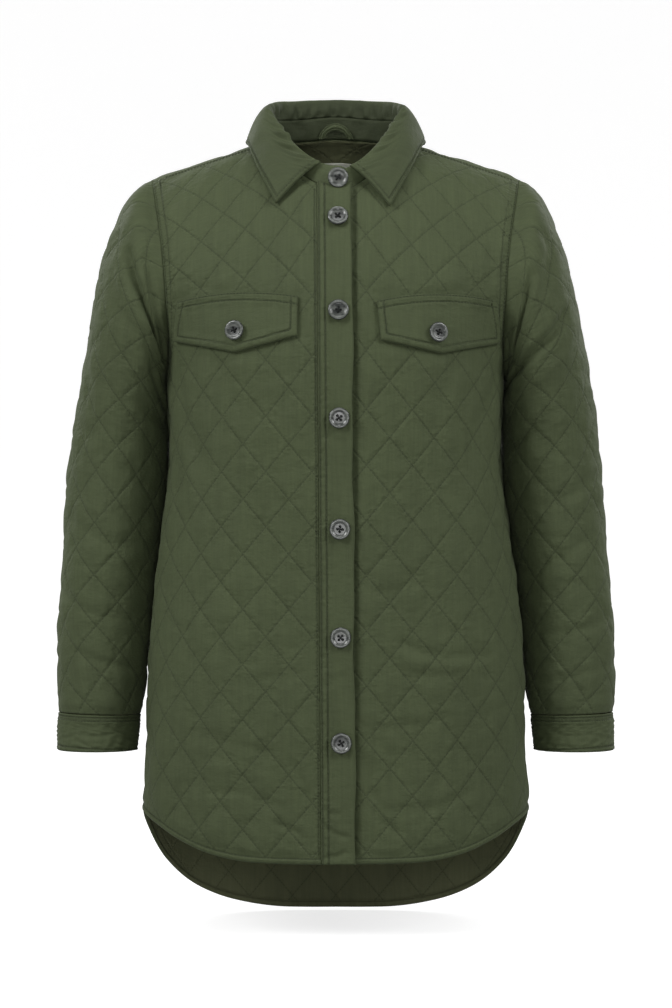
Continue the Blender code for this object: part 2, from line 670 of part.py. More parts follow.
# ---- sleeves ------------------------------------------------------------------
class Tube:
    """A sleeve known on a grid of rings and lines; a cloth point is found along both."""

    def __init__(self, points, normals, middle):
        self.points, self.normals = points, normals
        across = np.linalg.norm(np.diff(points, axis=1), axis=2).cumsum(axis=1)
        across = np.concatenate([np.zeros((len(points), 1)), across], axis=1)
        self.across = across - across[:, middle:middle + 1]
        fall = np.linalg.norm(np.diff(points, axis=0), axis=2).cumsum(axis=0)
        fall = np.concatenate([np.zeros((1, points.shape[1])), fall], axis=0)
        self.down = fall - fall[-1:]

    @staticmethod
    def find(table, value):
        """Fractional place of each value in its own rising row of a table."""
        low = np.clip((table < value[:, None]).sum(axis=1) - 1, 0, table.shape[1] - 2)
        rows = np.arange(len(value))
        start, stop = table[rows, low], table[rows, low + 1]
        return low + np.clip((value - start) / np.maximum(stop - start, 1e-9), 0, 1)

    @staticmethod
    def between(grid, place):
        """Rows of a grid at fractional places."""
        low = np.clip(place.astype(int), 0, len(grid) - 2)
        u = (place - low).reshape(-1, *[1] * (grid.ndim - 1))
        return grid[low] * (1 - u) + grid[low + 1] * u

    def __call__(self, across, down):
        ring = np.full(len(across), len(self.points) / 2)
        for _ in range(25):
            line = self.find(self.between(self.across, ring), across)
            ring = self.find(self.between(self.down.T, line), down)
        low = np.clip(line.astype(int), 0, self.points.shape[1] - 2)
        u = (line - low)[:, None]
        rows = np.arange(len(across))
        result = []
        for grid in (self.points, self.normals):
            near = self.between(grid, ring)
            result.append(near[rows, low] * (1 - u) + near[rows, low + 1] * u)
        return result[0], result[1] / np.linalg.norm(result[1], axis=1)[:, None]


def armhole_ring():
    """The armhole on the +X side, from the underarm round the back to the front.

    Gives its points, the body's normals, the directions off the cut edge, and the turns.
    """
    points, normals, outwards, turns = [], [], [], []
    for face in (BACK, FRONT):
        line = armhole_line(face, 0.0)
        if face == FRONT:
            seam = SHOULDER_SEAM
            line = np.concatenate([line[:1], [(edge_across(FRONT, seam)[0], seam)],
                                   line[line[:, 1] > seam + 4 * MM]])
        place, normal = on_body(face, *line.T)
        tangent = np.gradient(place, axis=0)
        outward = np.cross(tangent, normal) * face
        outward /= np.linalg.norm(outward, axis=1)[:, None]
        outward[-1] = (0, 0, 1)
        place = place + outward * SEAM_GAP / 2
        along = np.concatenate([[0], np.linalg.norm(np.diff(place, axis=0), axis=1).cumsum()])
        turn = along / along[-1]
        if face == BACK:
            place, normal, turn = place[::-1], normal[::-1], -turn[::-1]
        else:
            place, normal, turn = place[1:], normal[1:], turn[1:]
        outward = outward[::-1] if face == BACK else outward[1:]
        for rows, part in ((points, place), (normals, normal), (outwards, outward), (turns, turn)):
            rows.append(part)
    return [np.concatenate(rows) for rows in (points, normals, outwards, turns)]


def sleeve_ring(row, turns):
    """One ring of the sleeve: a leaning oval through its overarm and underarm points."""
    outer_x, outer_z, inner_x, inner_z, front, back, middle_y = np.array(row) * MM
    swing = np.cos(math.pi * turns)
    depth = np.where(turns > 0, -front, -back) * np.sin(math.pi * turns)
    x = (outer_x + inner_x) / 2 + (outer_x - inner_x) / 2 * swing
    z = (outer_z + inner_z) / 2 + (outer_z - inner_z) / 2 * swing
    return np.stack([x, middle_y + depth, z], axis=1)


def sleeve_tube():
    """The sleeve's form on the +X side, and the number of its overarm line."""
    start, body_normals, outwards, turns = armhole_ring()
    rings = np.array([start] + [sleeve_ring(row, turns) for row in SLEEVE_RINGS])
    count = len(rings)
    spread = np.concatenate([[0], np.linalg.norm(np.diff(rings, axis=0), axis=2).mean(axis=1).cumsum()])
    fine = np.linspace(0, spread[-1], (count - 1) * RING_STEPS + 1)
    points = np.stack([np.stack([smooth_curve(spread, rings[:, k, axis])(fine) for axis in range(3)], axis=1)
                       for k in range(rings.shape[1])], axis=1)
    normals = np.cross(np.gradient(points, axis=0), np.gradient(points, axis=1))
    normals /= np.linalg.norm(normals, axis=2)[:, :, None]
    if (normals[:, :, 0].mean(axis=0)[len(turns) // 2]) < 0:
        normals = -normals
    valley = (normals[0] * outwards).sum(axis=1) < 0
    mitre = body_normals + normals[0] * valley[:, None]
    normals[0] = mitre / np.linalg.norm(mitre, axis=1)[:, None]
    return Tube(points, normals, int(np.argmin(np.abs(turns)))), turns


def make_sleeves(quilted, plain):
    """Both sleeves, closed along the underarm seam, and their cuffs."""
    tube, turns = sleeve_tube()
    top = list(zip(tube.across[0], tube.down[0]))
    rows = list(range(0, len(tube.points), 4))[1:-1]
    front_edge = [(tube.across[r, -1] - SEAM_GAP / 2, tube.down[r, -1]) for r in rows]
    back_edge = [(tube.across[r, 0] + SEAM_GAP / 2, tube.down[r, 0]) for r in rows[::-1]]
    foot_across = np.linspace(tube.across[-1, -1] - SEAM_GAP / 2, tube.across[-1, 0] + SEAM_GAP / 2, 17)
    foot = [(across, 0.0) for across in foot_across]
    top[0] = (top[0][0] + SEAM_GAP / 2, top[0][1])
    top[-1] = (top[-1][0] - SEAM_GAP / 2, top[-1][1])
    loop = top + front_edge + foot + back_edge

    def right_tube(across, down):
        points, normals = tube(across, down)
        return points * (-1, 1, 1), normals * (-1, 1, 1)

    for word, place, folds in (("left", tube, SLEEVE_LEFT_FOLDS), ("right", right_tube, SLEEVE_RIGHT_FOLDS)):
        sew_panel("sleeve_" + word, loop, place, quilted, first=SLEEVE_RULED, folds=Folds(folds))

    for word, side in (("left", 1), ("right", -1)):
        make_cuff("cuff_" + word, side, plain)


def make_cuff(name, side, material):
    """A plain closed band below the sleeve."""
    turns = np.linspace(-1, 1, CUFF_STEPS, endpoint=False)
    skins = []
    for sink in (0, PLAIN_WALL):
        rings = []
        for row in CUFF_RINGS:
            outer_x, outer_z, inner_x, inner_z, front, back, middle_y = row
            s = sink / MM
            ring = sleeve_ring((outer_x - s, outer_z, inner_x + s, inner_z, front - s, back - s, middle_y),
                               turns)
            rings.append(ring * (side, 1, 1))
        skins.append(np.array(rings))
    close_ring(name, skins, material)


def close_ring(name, skins, material):
    """A closed band from outer and inner rings."""
    rings = np.concatenate([skins[0], skins[1][::-1]])
    count, around = rings.shape[:2]
    faces = []
    for i in range(count):
        for j in range(around):
            a, b = i * around + j, i * around + (j + 1) % around
            c, d = (i + 1) % count * around + (j + 1) % around, (i + 1) % count * around + j
            faces.append((a, b, c, d))
    mesh = bpy.data.meshes.new(name)
    mesh.from_pydata(rings.reshape(-1, 3).tolist(), [], faces)
    work = bmesh.new()
    work.from_mesh(mesh)
    bmesh.ops.recalc_face_normals(work, faces=work.faces)
    work.to_mesh(mesh)
    work.free()
    item = bpy.data.objects.new(name, mesh)
    bpy.context.scene.collection.objects.link(item)
    mesh.materials.append(material)
    return item


# ---- collar ----------------------------------------------------------------------
def close_sheet(name, outer, inner, material):
    """A closed wall between two grids of points with the same rows and columns."""
    rows, columns = outer.shape[:2]
    faces = []
    for i in range(rows - 1):
        for j in range(columns - 1):
            a, b = i * columns + j, i * columns + j + 1
            c, d = b + columns, a + columns
            faces += [(a, b, c), (a, c, d)]
    return close_wall(name, outer.reshape(-1, 3), inner.reshape(-1, 3), np.array(faces), material)


def neck_point(turn):
    """Point of the neck line, and the level direction away from the neck's axis."""
    face, across, down = neck_cloth(turn)
    points, normal = on_body(face, across, down)
    away = points[0] - (0, NECK_AXIS_Y, points[0][2])
    return points[0], away / np.linalg.norm(away), normal[0]


def lap(turn):
    """How far the right front, here negative turns, is lifted over the left: 0 to 1."""
    face, across, _ = neck_cloth(turn)
    return float(lift(across)) / PLACKET_LIFT if turn < 0 and face == FRONT else 0.0


def turn_at(across):
    """Turn at which the front of the neck line passes this distance from the middle."""
    angle = math.acos(across / NECK_HALF)
    return NECK_BACK_TURN + angle / (math.pi / 2) * (1 - NECK_BACK_TURN)


def stand_foot(turn):
    """Outer foot of the stand, and the level direction away from the neck."""
    point, away, _ = neck_point(turn)
    out = STAND_LAP_OUT * lap(turn) - STAND_IN
    return point + away * out + np.array([0, 0, STAND_LAP_UP * lap(turn)]), away


def stand_top(turn):
    """Middle of the stand's upper edge."""
    foot, away = stand_foot(turn)
    return foot - away * (STAND_LEAN + PLAIN_WALL / 2) + np.array([0, 0, STAND_TALL])


def make_stand(material):
    """The band round the neck; its right end is rounded and laps over the left."""
    end = turn_at(-STAND_END)
    turns = np.concatenate([np.linspace(-end, -0.93, 9)[:-1], np.linspace(-0.93, 0.93, 37),
                            np.linspace(0.93, end, 7)[1:]])
    outer, inner = [], []
    for share in (0, 0.5, 1):
        for skin, sink in ((outer, 0), (inner, PLAIN_WALL)):
            row = []
            for turn in turns:
                foot, away = stand_foot(turn)
                from_end = (turn + end) * NECK_HALF * 2
                cut = max(0.0, 1 - from_end / STAND_END_ROUND)
                tall = STAND_TALL * share * (1 - 0.45 * (1 - math.sqrt(1 - min(cut, 1) ** 2)))
                row.append(foot - away * (STAND_LEAN * share + sink) + np.array([0, 0, tall]))
            skin.append(row)
    close_sheet("collar_stand", np.array(outer), np.array(inner), material)


def leaf_edge(turn, end):
    """Middle of the leaf's outer edge, a little above the body."""
    size = abs(turn)
    side = -1 if turn < 0 else 1
    tip = cloth_of(FRONT, *LEAF_TIPS[side])
    if size <= NECK_BACK_TURN:
        angle = size / NECK_BACK_TURN * math.pi / 2
        face, across, down = BACK, LEAF_SIDE * math.sin(angle), LEAF_BACK * math.cos(angle)
    else:
        share = (size - NECK_BACK_TURN) / (end - NECK_BACK_TURN)
        face = FRONT
        across = LEAF_SIDE + (tip[0] - LEAF_SIDE) * share + LEAF_BOW * math.sin(math.pi * share)
        down = tip[1] * share
    points, normal = on_body(face, side * across, down)
    raise_by = LEAF_OFF + (float(lift(across)) if side < 0 and face == FRONT else 0.0)
    raise_by -= LEAF_HUG * math.exp(-((size - NECK_BACK_TURN) / 0.12) ** 2)
    return points[0] + normal[0] * raise_by


def make_leaf(material):
    """The turned-down leaf: each section is one curve from the stand's top to the outer edge."""
    end = turn_at(LEAF_CORNER)
    rise, droop, beside, above = [smooth_curve(LEAF_ROWS[:, 0], column * MM) for column in LEAF_ROWS.T[1:]]
    turns = np.linspace(-end, end, 45)
    shares = np.array([0, 0.12, 0.22, 0.32, 0.42, 0.54, 0.68, 0.84, 1])
    grid = []
    for turn in turns:
        size = abs(turn)
        start = stand_top(turn) + neck_point(turn)[1] * beside(size) + np.array([0, 0, above(size)])
        stop = leaf_edge(turn, end)
        level = 1 - np.clip((size - NECK_BACK_TURN) / (end - NECK_BACK_TURN), 0, 1)
        one = start + (stop - start) * (1 - level) / 3 + np.array([0, 0, rise(size)])
        two = stop + (start - stop) * (1 - level) / 3 + np.array([0, 0, droop(size)])
        u = shares[:, None]
        grid.append(start * (1 - u) ** 3 + one * 3 * u * (1 - u) ** 2
                    + two * 3 * u * u * (1 - u) + stop * u ** 3)
    grid = np.array(grid)
    normal = np.cross(np.gradient(grid, axis=1), np.gradient(grid, axis=0))
    normal /= np.linalg.norm(normal, axis=2)[:, :, None]
    close_sheet("collar", grid + normal * PLAIN_WALL / 2, grid - normal * PLAIN_WALL / 2, material)


def make_loop_and_label(plain, pale):
    """The hanging loop on the stand's inner face, and a bare label under it."""
    angles = np.linspace(0, math.pi, 15)
    outer, inner = [], []
    for edge in (0, LOOP_WIDE):
        rows = ([], [])
        for angle in angles:
            x = (LOOP_HALF - edge) * math.cos(angle)
            z = (LOOP_RISE - edge) * math.sin(angle)
            turn = math.asin(np.clip(x / NECK_HALF, -1, 1)) / (math.pi / 2) * NECK_BACK_TURN
            foot, away = stand_foot(turn)
            bow = 1.2 * MM + 3.0 * MM * math.sin(angle)
            base = foot - away * (PLAIN_WALL + STAND_LEAN * z / STAND_TALL + bow) + np.array([0, 0, z])
            rows[0].append(base)
            rows[1].append(base - away * LOOP_WALL)
        outer.append(rows[0])
        inner.append(rows[1])
    close_sheet("hanger_loop", np.array(outer), np.array(inner), plain)
    across = np.linspace(-LABEL_HALF, LABEL_HALF, 6)
    top = cloth_of(BACK, 0, LABEL_TOP)[1]
    loop = [(a, top) for a in across] + [(a, top + LABEL_TALL) for a in across[::-1]]
    sew_panel("label", loop, on_back, pale, quilted=False, wall=LABEL_WALL, out=-WALL - LABEL_CLEAR)


# ---- buttons ------------------------------------------------------------------------
def button_mesh(material):
    """A round four-hole button with a raised rim, its back face on z = 0."""
    work = bmesh.new()
    profile = [work.verts.new((radius * MM, 0, height * MM)) for radius, height in BUTTON_PROFILE]
    edges = [work.edges.new(pair) for pair in zip(profile, profile[1:])]
    bmesh.ops.spin(work, geom=profile + edges, cent=(0, 0, 0), axis=(0, 0, 1), angle=2 * math.pi,
                   steps=BUTTON_SIDES)
    bmesh.ops.remove_doubles(work, verts=work.verts, dist=0.01 * MM)
    bmesh.ops.recalc_face_normals(work, faces=work.faces)
    mesh = bpy.data.meshes.new("button")
    work.to_mesh(mesh)
    work.free()
    mesh.materials.append(material)
    holes = bmesh.new()
    for x in (-1, 1):
        for y in (-1, 1):
            made = bmesh.ops.create_cone(holes, cap_ends=True, segments=6, radius1=HOLE_RADIUS,
                                         radius2=HOLE_RADIUS, depth=12 * MM)
            bmesh.ops.translate(holes, verts=made["verts"], vec=(x * HOLE_OFFSET, y * HOLE_OFFSET, 0))
    cut = bpy.data.meshes.new("button_holes")
    holes.to_mesh(cut)
    holes.free()
    blank = bpy.data.objects.new("button_blank", mesh)
    cutter = bpy.data.objects.new("button_cutter", cut)
    for item in (blank, cutter):
        bpy.context.scene.collection.objects.link(item)
    drill = blank.modifiers.new("holes", "BOOLEAN")
    drill.operation = "DIFFERENCE"
    drill.object = cutter
    evaluated = blank.evaluated_get(bpy.context.evaluated_depsgraph_get())
    result = bpy.data.meshes.new_from_object(evaluated)
    for item in (blank, cutter):
        bpy.data.objects.remove(item)
    return result


def sew_button(name, mesh, point, normal, scale=1.0):
    """A button lying on the cloth at a point, facing along the normal."""
    item = bpy.data.objects.new(name, mesh)
    bpy.context.scene.collection.objects.link(item)
    item.location = Vector(point) + Vector(normal) * BUTTON_FLOAT
    item.rotation_euler = Vector(normal).to_track_quat("Z", "Y").to_euler()
    item.scale = (scale, scale, scale)


def make_buttons(horn):
    """One button on the stand, six down the placket and one on each flap."""
    mesh = button_mesh(horn)
    x, z = STAND_BUTTON
    turn = -turn_at(-x)
    foot, away = stand_foot(turn)
    share = (z - foot[2]) / STAND_TALL
    sew_button("button_1", mesh, foot - away * STAND_LEAN * share + np.array([0, 0, z - foot[2]]), away)
    for number, height in enumerate(PLACKET_BUTTONS, start=2):
        z = height * MM
        across, down = cloth_of(FRONT, placket_middle(z) + BUTTON_SIDE, z)
        points, normal = on_front(across, down)
        sew_button(f"button_{number}", mesh, points[0] + normal[0] * (PLACKET_PROUD + PLACKET_LIFT), normal[0])
    for side, word in ((-1, "right"), (1, "left")):
        x, z = FLAP_BUTTONS[side]
        points, normal = on_front(*cloth_of(FRONT, side * x, z))
        proud = FLAP_PROUD + (float(lift(x)) if side < 0 else 0)
        sew_button("flap_button_" + word, mesh, points[0] + normal[0] * proud, normal[0], FLAP_BUTTON_SCALE)


# ---- materials and build --------------------------------------------------------------
def finish(name, color, roughness):
    """A plain material."""
    material = bpy.data.materials.new(name)
    material.use_nodes = True
    shader = material.node_tree.nodes["Principled BSDF"]
    shader.inputs["Base Color"].default_value = (*color, 1)
    shader.inputs["Roughness"].default_value = roughness
    return material


def main():
    for item in list(bpy.data.objects):
        bpy.data.objects.remove(item)
    quilted = finish("quilted_cloth", (0.045, 0.066, 0.030), 0.8)
    plain = finish("plain_cloth", (0.045, 0.066, 0.030), 0.8)
    pale = finish("pale_label", (0.45, 0.44, 0.38), 0.7)
    horn = finish("smoky_horn", (0.03, 0.032, 0.035), 0.3)
    make_body(quilted, plain)
    make_sleeves(quilted, plain)
    make_stand(plain)
    make_leaf(plain)
    make_loop_and_label(plain, pale)
    make_buttons(horn)


main()
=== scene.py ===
"""Dresses a quilted shirt jacket: its cloth, quilting, topstitching, buttons and studio.

Every cloth piece is a closed wall over a grid of cloth points (across, down) in
metres, placed on the jacket's form. Its UV map holds the same cloth points, so
weave and quilting stitches follow the cloth.
"""

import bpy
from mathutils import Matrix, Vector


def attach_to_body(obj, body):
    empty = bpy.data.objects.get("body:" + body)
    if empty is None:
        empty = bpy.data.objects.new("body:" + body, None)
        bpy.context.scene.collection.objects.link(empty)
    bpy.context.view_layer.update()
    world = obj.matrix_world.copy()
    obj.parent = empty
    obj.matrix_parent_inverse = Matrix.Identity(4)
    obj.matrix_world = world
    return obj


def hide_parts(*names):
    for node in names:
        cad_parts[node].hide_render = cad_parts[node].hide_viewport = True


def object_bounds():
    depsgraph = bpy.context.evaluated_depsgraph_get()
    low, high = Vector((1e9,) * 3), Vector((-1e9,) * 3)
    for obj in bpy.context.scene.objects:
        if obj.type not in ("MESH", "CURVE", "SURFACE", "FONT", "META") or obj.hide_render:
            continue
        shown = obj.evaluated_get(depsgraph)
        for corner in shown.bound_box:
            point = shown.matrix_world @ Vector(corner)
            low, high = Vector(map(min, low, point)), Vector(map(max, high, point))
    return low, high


bl_info = {
    "name": "Quilted shirt jacket",
    "version": (1, 0, 0),
    "blender": (4, 5, 0),
    "location": "3D View > Sidebar > Jacket",
    "description": "Makes the cloth, stitching, buttons and studio of a quilted shirt jacket",
    "category": "Object"}

import math

import bpy
import numpy as np
from bpy.props import FloatProperty, FloatVectorProperty, PointerProperty
from mathutils import Vector

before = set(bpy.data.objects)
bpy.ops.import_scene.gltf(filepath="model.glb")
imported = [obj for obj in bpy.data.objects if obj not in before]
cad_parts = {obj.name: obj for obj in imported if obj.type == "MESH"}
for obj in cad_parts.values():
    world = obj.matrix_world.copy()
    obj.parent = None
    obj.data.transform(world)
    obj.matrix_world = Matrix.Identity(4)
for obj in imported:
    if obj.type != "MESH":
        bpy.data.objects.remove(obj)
CAD_BOX = [list(corner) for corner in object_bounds()]

MM = 0.001
FRONT, BACK = -1, 1
WORDS = {-1: "right", 1: "left"}       # the wearer's sides, by the sign of their x

# ---- cloth ----
SEAM_GAP = 0.3 * MM
WALL = 2.0 * MM
PLAIN_WALL = 2.5 * MM
HEM_WALL = 3.4 * MM
DIAMOND = np.array([45, 53]) * MM      # width and height of a quilted diamond
LINE_SPACING = DIAMOND[0] * DIAMOND[1] / np.hypot(*DIAMOND)
CELL = 2.2 * MM                        # size of a quilted panel's grid cells
FRONT_SIZE, BACK_SIZE, SLEEVE_SIZE = (0.19, 0.70), (0.40, 0.78), (0.40, 0.55)  # sizes that set
FLAP_SIZE, FLAP_CELL = (0.122, 0.044), 1.5 * MM                                # the grids' cells
SEAM_PRESS = 9 * MM                    # the quilting lies flat this close to a seam

# ---- form of the body, in mm: drop below the shoulder ridge, half widths and depths
BODY_ROWS = np.array([
    # drop, wide_front, wide_back, deep_front, deep_back
    (0,    183.0, 183.0, 124, 116),
    (30,   178.0, 180.0, 125, 118),
    (72,   171.5, 176.0, 126, 120),
    (132,  166.5, 171.5, 127, 120),
    (177,  164.5, 167.5, 127, 118),
    (220,  166.0, 166.0, 126, 116),
    (288,  164.5, 164.5, 125, 111),
    (313,  165.0, 165.0, 124, 109),
    (362,  170.0, 170.0, 123, 107),
    (420,  177.5, 177.5, 122, 107),
    (480,  183.5, 183.5, 122, 109),
    (550,  186.5, 186.5, 121, 112),
    (606,  188.4, 188.4, 120, 114),
    (658,  192.0, 192.0, 120, 115),
    (790,  192.3, 192.3, 120, 112)]) * MM
ARCH = {
    FRONT: dict(reach=230 * MM, height_power=1.8, depth_power=1.5, roundness=2.5, column=3, edge=1),
    BACK:  dict(reach=160 * MM, height_power=2.0, depth_power=2.6, roundness=2.4, column=4, edge=2)}
SHOULDER_TOP, SHOULDER_SLOPE, SHOULDER_ROUND = 34 * MM, 0.344, 30 * MM
LEVEL_DROP = 300 * MM
SHOULDER_SEAM = 12 * MM
ARMHOLE_DROP, ARMHOLE_SHARE = 220 * MM, 0.85
NECK_HALF, NECK_CUT, NECK_POWER, NECK_FRONT_POWER = 72 * MM, -1.0 * MM, 2.2, 0.92
NECK_FRONT_DROP, NECK_BACK_DROP, NECK_BACK_TURN = 69 * MM, 7.5 * MM, 0.45
NECK_AXIS_Y = -8 * MM
HEM_SIDE, HEM_FRONT, HEM_BACK = -658 * MM, -700 * MM, -771.6 * MM
HEM_BAND, HEM_PROUD, HEM_TUCK = 6.5 * MM, 0.7 * MM, 1.5 * MM  # panels reach this far into the hem band
HEM_ROWS = np.array([
    # share of the way to the side seam, rise of the front's and of the back's hem, as shares
    (0.00, 0.000, 0.00),
    (0.12, 0.000, 0.00),
    (0.24, 0.010, 0.01),
    (0.36, 0.055, 0.05),
    (0.50, 0.23, 0.14),
    (0.62, 0.50, 0.28),
    (0.74, 0.79, 0.50),
    (0.87, 0.97, 0.80),
    (1.00, 1.00, 1.00)])

# ---- front opening and flaps ----
PLACKET_HALF, PLACKET_TOP, PLACKET_FOOT = 16.5 * MM, -1.6 * MM, 2.7 * MM
PLACKET_PROUD, PLACKET_LIFT, LIFT_FADE = 0.8 * MM, 3.4 * MM, 54 * MM
UNDERLAP = 12 * MM
FLAPS = {-1: ((36, -155.5), (151.5, -157), (155.5, -194.5), (96.5, -208), (36.5, -193)),
         1: ((39.5, -159.5), (154.5, -156), (158, -196), (101.5, -209), (43, -197))}
FLAP_CROWN, FLAP_PROUD = 5 * MM, 4.4 * MM
FLAP_SHADE = 16 * MM                   # quilting rises again over this distance from a flap

# ---- rows of topstitching, in mm from the edge they follow ----
ARMHOLE_SEWN, SHOULDER_SEWN, FRONT_SEWN = (1.6, 7.6), 1.6, 2.2
PLACKET_SEWN, HEM_SEWN = (1.8, 7.4), 1.2
FLAP_SEWN, FLAP_TOP_SEWN = 6.4, (7.8, 1.3)
CUFF_TOP_SEWN, CUFF_FOOT_SEWN = (2.4, 5.4), 5.4
STAND_SEWN, LEAF_SEWN, LOOP_SEWN = 3, 4.6, 1.4

# ---- where the quilting starts on each panel ----
FRONT_RULED = {-1: np.array([-22.5, 418]) * MM, 1: np.array([29.5, 412]) * MM}
BACK_RULED = np.array([0, 400]) * MM
SLEEVE_RULED = np.array([10, -60]) * MM

# ---- sleeves, in mm ----
SLEEVE_RINGS = (
    # outer_x, outer_z, inner_x, inner_z, deep_front, deep_back, middle_y
    (200.0,  -43, 169.8, -229, 77, 83, 0),
    (218.8,  -78, 169.4, -237, 79, 82, 4),
    (235.3, -126, 168.0, -248, 81, 77, 11),
    (247.4, -182, 167.6, -264, 81, 70, 19),
    (257.4, -246, 168.2, -290, 79, 64, 25),
    (265.6, -310, 169.5, -330, 75, 59, 27),
    (271.6, -375, 175.6, -385, 69, 55, 26),
    (276.2, -440, 182.8, -445, 62, 51, 23),
    (278.8, -501, 188.6, -506, 54, 47, 17),
    (278.4, -536, 192.4, -541, 47, 43, 11),
    (277.4, -561, 195.2, -563, 41, 41, 6))
CUFF_COLUMNS, CUFF_ROWS = 160, 31
CUFF_RINGS = (
    (277.7, -562.0, 195.2, -564, 41, 41, 6),
    (278.8, -574.0, 196.0, -575, 41, 41, 6),
    (278.8, -588.0, 197.4, -588, 41, 41, 5),
    (278.8, -599.5, 198.5, -599.5, 41, 41, 5))

# ---- collar ----
STAND_IN, STAND_TALL, STAND_LEAN = 2.0 * MM, 21.5 * MM, 3 * MM
STAND_LAP_OUT, STAND_LAP_UP = 3.4 * MM, 3.2 * MM
STAND_END, STAND_END_ROUND = 12.5 * MM, 9 * MM
LEAF_CORNER, LEAF_OFF, LEAF_SIDE, LEAF_BACK = 14.5 * MM, 4.6 * MM, 90.5 * MM, 66 * MM
LEAF_TIPS = {-1: (57.5 * MM, -64 * MM), 1: (52.5 * MM, -66.5 * MM)}
LEAF_BOW, LEAF_HUG = 4 * MM, 0.8 * MM
LEAF_COLUMNS, LEAF_LINES = 241, 45
LEAF_ROWS = np.array([
    # turn, rise, droop, beside, above
    (0.00, 30, 50, 0.0, 0.5),
    (0.25, 35, 42, 0.0, 0.5),
    (0.45, 34, 12, 0.2, 0.6),
    (0.60, 25, 10, 1.2, 1.4),
    (0.75, 14, 8, 2.6, 1.4),
    (0.93, 6, 3, 3.6, 0.4)])

# ---- loop, label, buttons ----
LOOP_HALF, LOOP_RISE, LOOP_WIDE, LOOP_WALL = 20 * MM, 15 * MM, 7 * MM, 1.6 * MM
LABEL_HALF, LABEL_TOP, LABEL_TALL = 16 * MM, -2 * MM, 22 * MM
LABEL_WALL, LABEL_CLEAR = 0.8 * MM, 2.0 * MM
BUTTON_FLOAT, BUTTON_SIDE = 1.4 * MM, 3.4 * MM
STAND_BUTTON = (2.2 * MM, -36 * MM)
PLACKET_BUTTONS = [z * MM for z in (-78.2, -169.2, -271.6, -378.0, -482.0, -583.2)]
BUTTON_TURNS = (12, 4, 38, -8, 41, 6, -14)  # degrees, from the stand's button down
FLAP_BUTTONS = {-1: (95.1 * MM, -187.4 * MM), 1: (96.5 * MM, -189.2 * MM)}
FLAP_BUTTON_SCALE = 0.95

# ---- folds of each panel: rows of across, down, across, down, depth, half width in mm.
# A positive depth is a trough, a negative one a ridge.
FRONT_FOLDS = {-1: (
    (-172, 268, -133, 363, 3.5, 11), (-118, 256, -84, 318, 2.0, 12), (-60, 640, -150, 622, 1.6, 8),
    (-160, 300, -140, 400, -1.8, 9), (-100, 262, -72, 380, -1.4, 10), (-40, 250, -36, 360, 1.2, 9),
    (-50, 690, -120, 672, 1.6, 6), (-60, 664, -130, 650, -1.2, 6), (-30, 560, -90, 575, 1.0, 7),
    (-30, 718, -60, 702, 2.0, 3.5), (-26, 690, -46, 640, 1.6, 4), (-66, 644, -60, 600, 1.4, 4),
    (-150, 520, -178, 512, 1.6, 7), (-120, 470, -160, 500, 1.2, 8), (-28, 118, -70, 150, 1.0, 8)), 1: (
    (186, 262, 140, 366, 3.5, 11), (60, 532, 158, 541, 2.0, 7), (120, 258, 92, 330, 2.0, 12),
    (162, 300, 140, 420, -1.8, 9), (60, 540, 150, 551, -1.4, 7), (70, 560, 130, 556, 1.2, 6),
    (40, 610, 110, 600, 1.2, 7), (50, 690, 130, 676, 1.6, 6), (70, 250, 62, 340, 1.2, 10),
    (36, 690, 62, 714, 1.8, 4), (30, 648, 46, 690, 1.6, 4), (84, 702, 98, 660, 1.4, 5),
    (150, 600, 178, 590, 1.6, 7), (30, 480, 80, 470, 1.0, 7), (30, 118, 74, 160, 1.0, 8))}
BACK_FOLDS = (
    (-120, 90, -60, 180, 1.6, 12), (120, 100, 66, 190, 1.6, 12), (-150, 250, -90, 340, 2.4, 12),
    (156, 256, 96, 350, 2.4, 12), (-40, 420, 60, 432, 1.4, 9), (-120, 470, -30, 456, 1.6, 9),
    (110, 500, 30, 480, 1.4, 9), (-160, 560, -110, 548, 1.6, 8), (150, 590, 80, 604, 1.6, 8),
    (-30, 110, -36, 260, -1.4, 16), (40, 120, 46, 280, -1.4, 16), (-90, 640, 0, 655, 1.4, 9),
    (20, 690, 110, 672, 1.2, 8))
SLEEVE_FOLDS = {-1: (
    (78, -480, 192, -402, 10.0, 6), (40, -196, 122, -172, 2.2, 8), (-60, -300, -150, -330, 3.0, 10),
    (104, -490, 196, -434, 5.0, 11), (66, -470, 174, -384, -3.4, 9), (132, -384, 182, -306, 4.0, 6),
    (120, -330, 180, -300, 2.4, 9),
    (84, -264, 160, -236, 1.8, 8), (30, -120, 110, -96, 1.6, 7), (50, -60, 120, -44, 1.8, 6),
    (-40, -70, 20, -50, 1.4, 6), (-50, -440, -130, -400, 2.6, 10), (-40, -180, -120, -206, 2.0, 9),
    (0, -300, 70, -284, 1.4, 9), (20, -420, 60, -330, 1.4, 10), (132, -150, 172, -140, 1.8, 7)), 1: (
    (104, -466, 164, -410, 6.5, 6), (76, -412, 210, -350, 7.5, 6.5), (46, -240, 128, -214, 2.2, 8),
    (-70, -280, -150, -316, 3.0, 10), (62, -496, 92, -444, 3.0, 9), (60, -396, 170, -330, -2.4, 11),
    (110, -300, 176, -276, 2.2, 9), (60, -180, 140, -150, 1.8, 8), (36, -96, 112, -80, 1.6, 7),
    (40, -44, 110, -30, 1.6, 6), (-40, -430, -130, -396, 2.6, 10), (-36, -150, -120, -176, 2.0, 9),
    (-10, -330, 56, -350, 1.4, 9), (16, -440, 50, -360, 1.4, 10), (-50, -60, 10, -46, 1.4, 6))}
CUFF_FOLDS = (
    (50, -16, 84, -18, 1.4, 1.8), (78, -26, 114, -14, 1.6, 2.4), (20, -12, 44, -15, 0.8, 1.8),
    (-40, -18, -80, -15, 1.2, 2.0), (-90, -24, -116, -16, 1.2, 2.2))
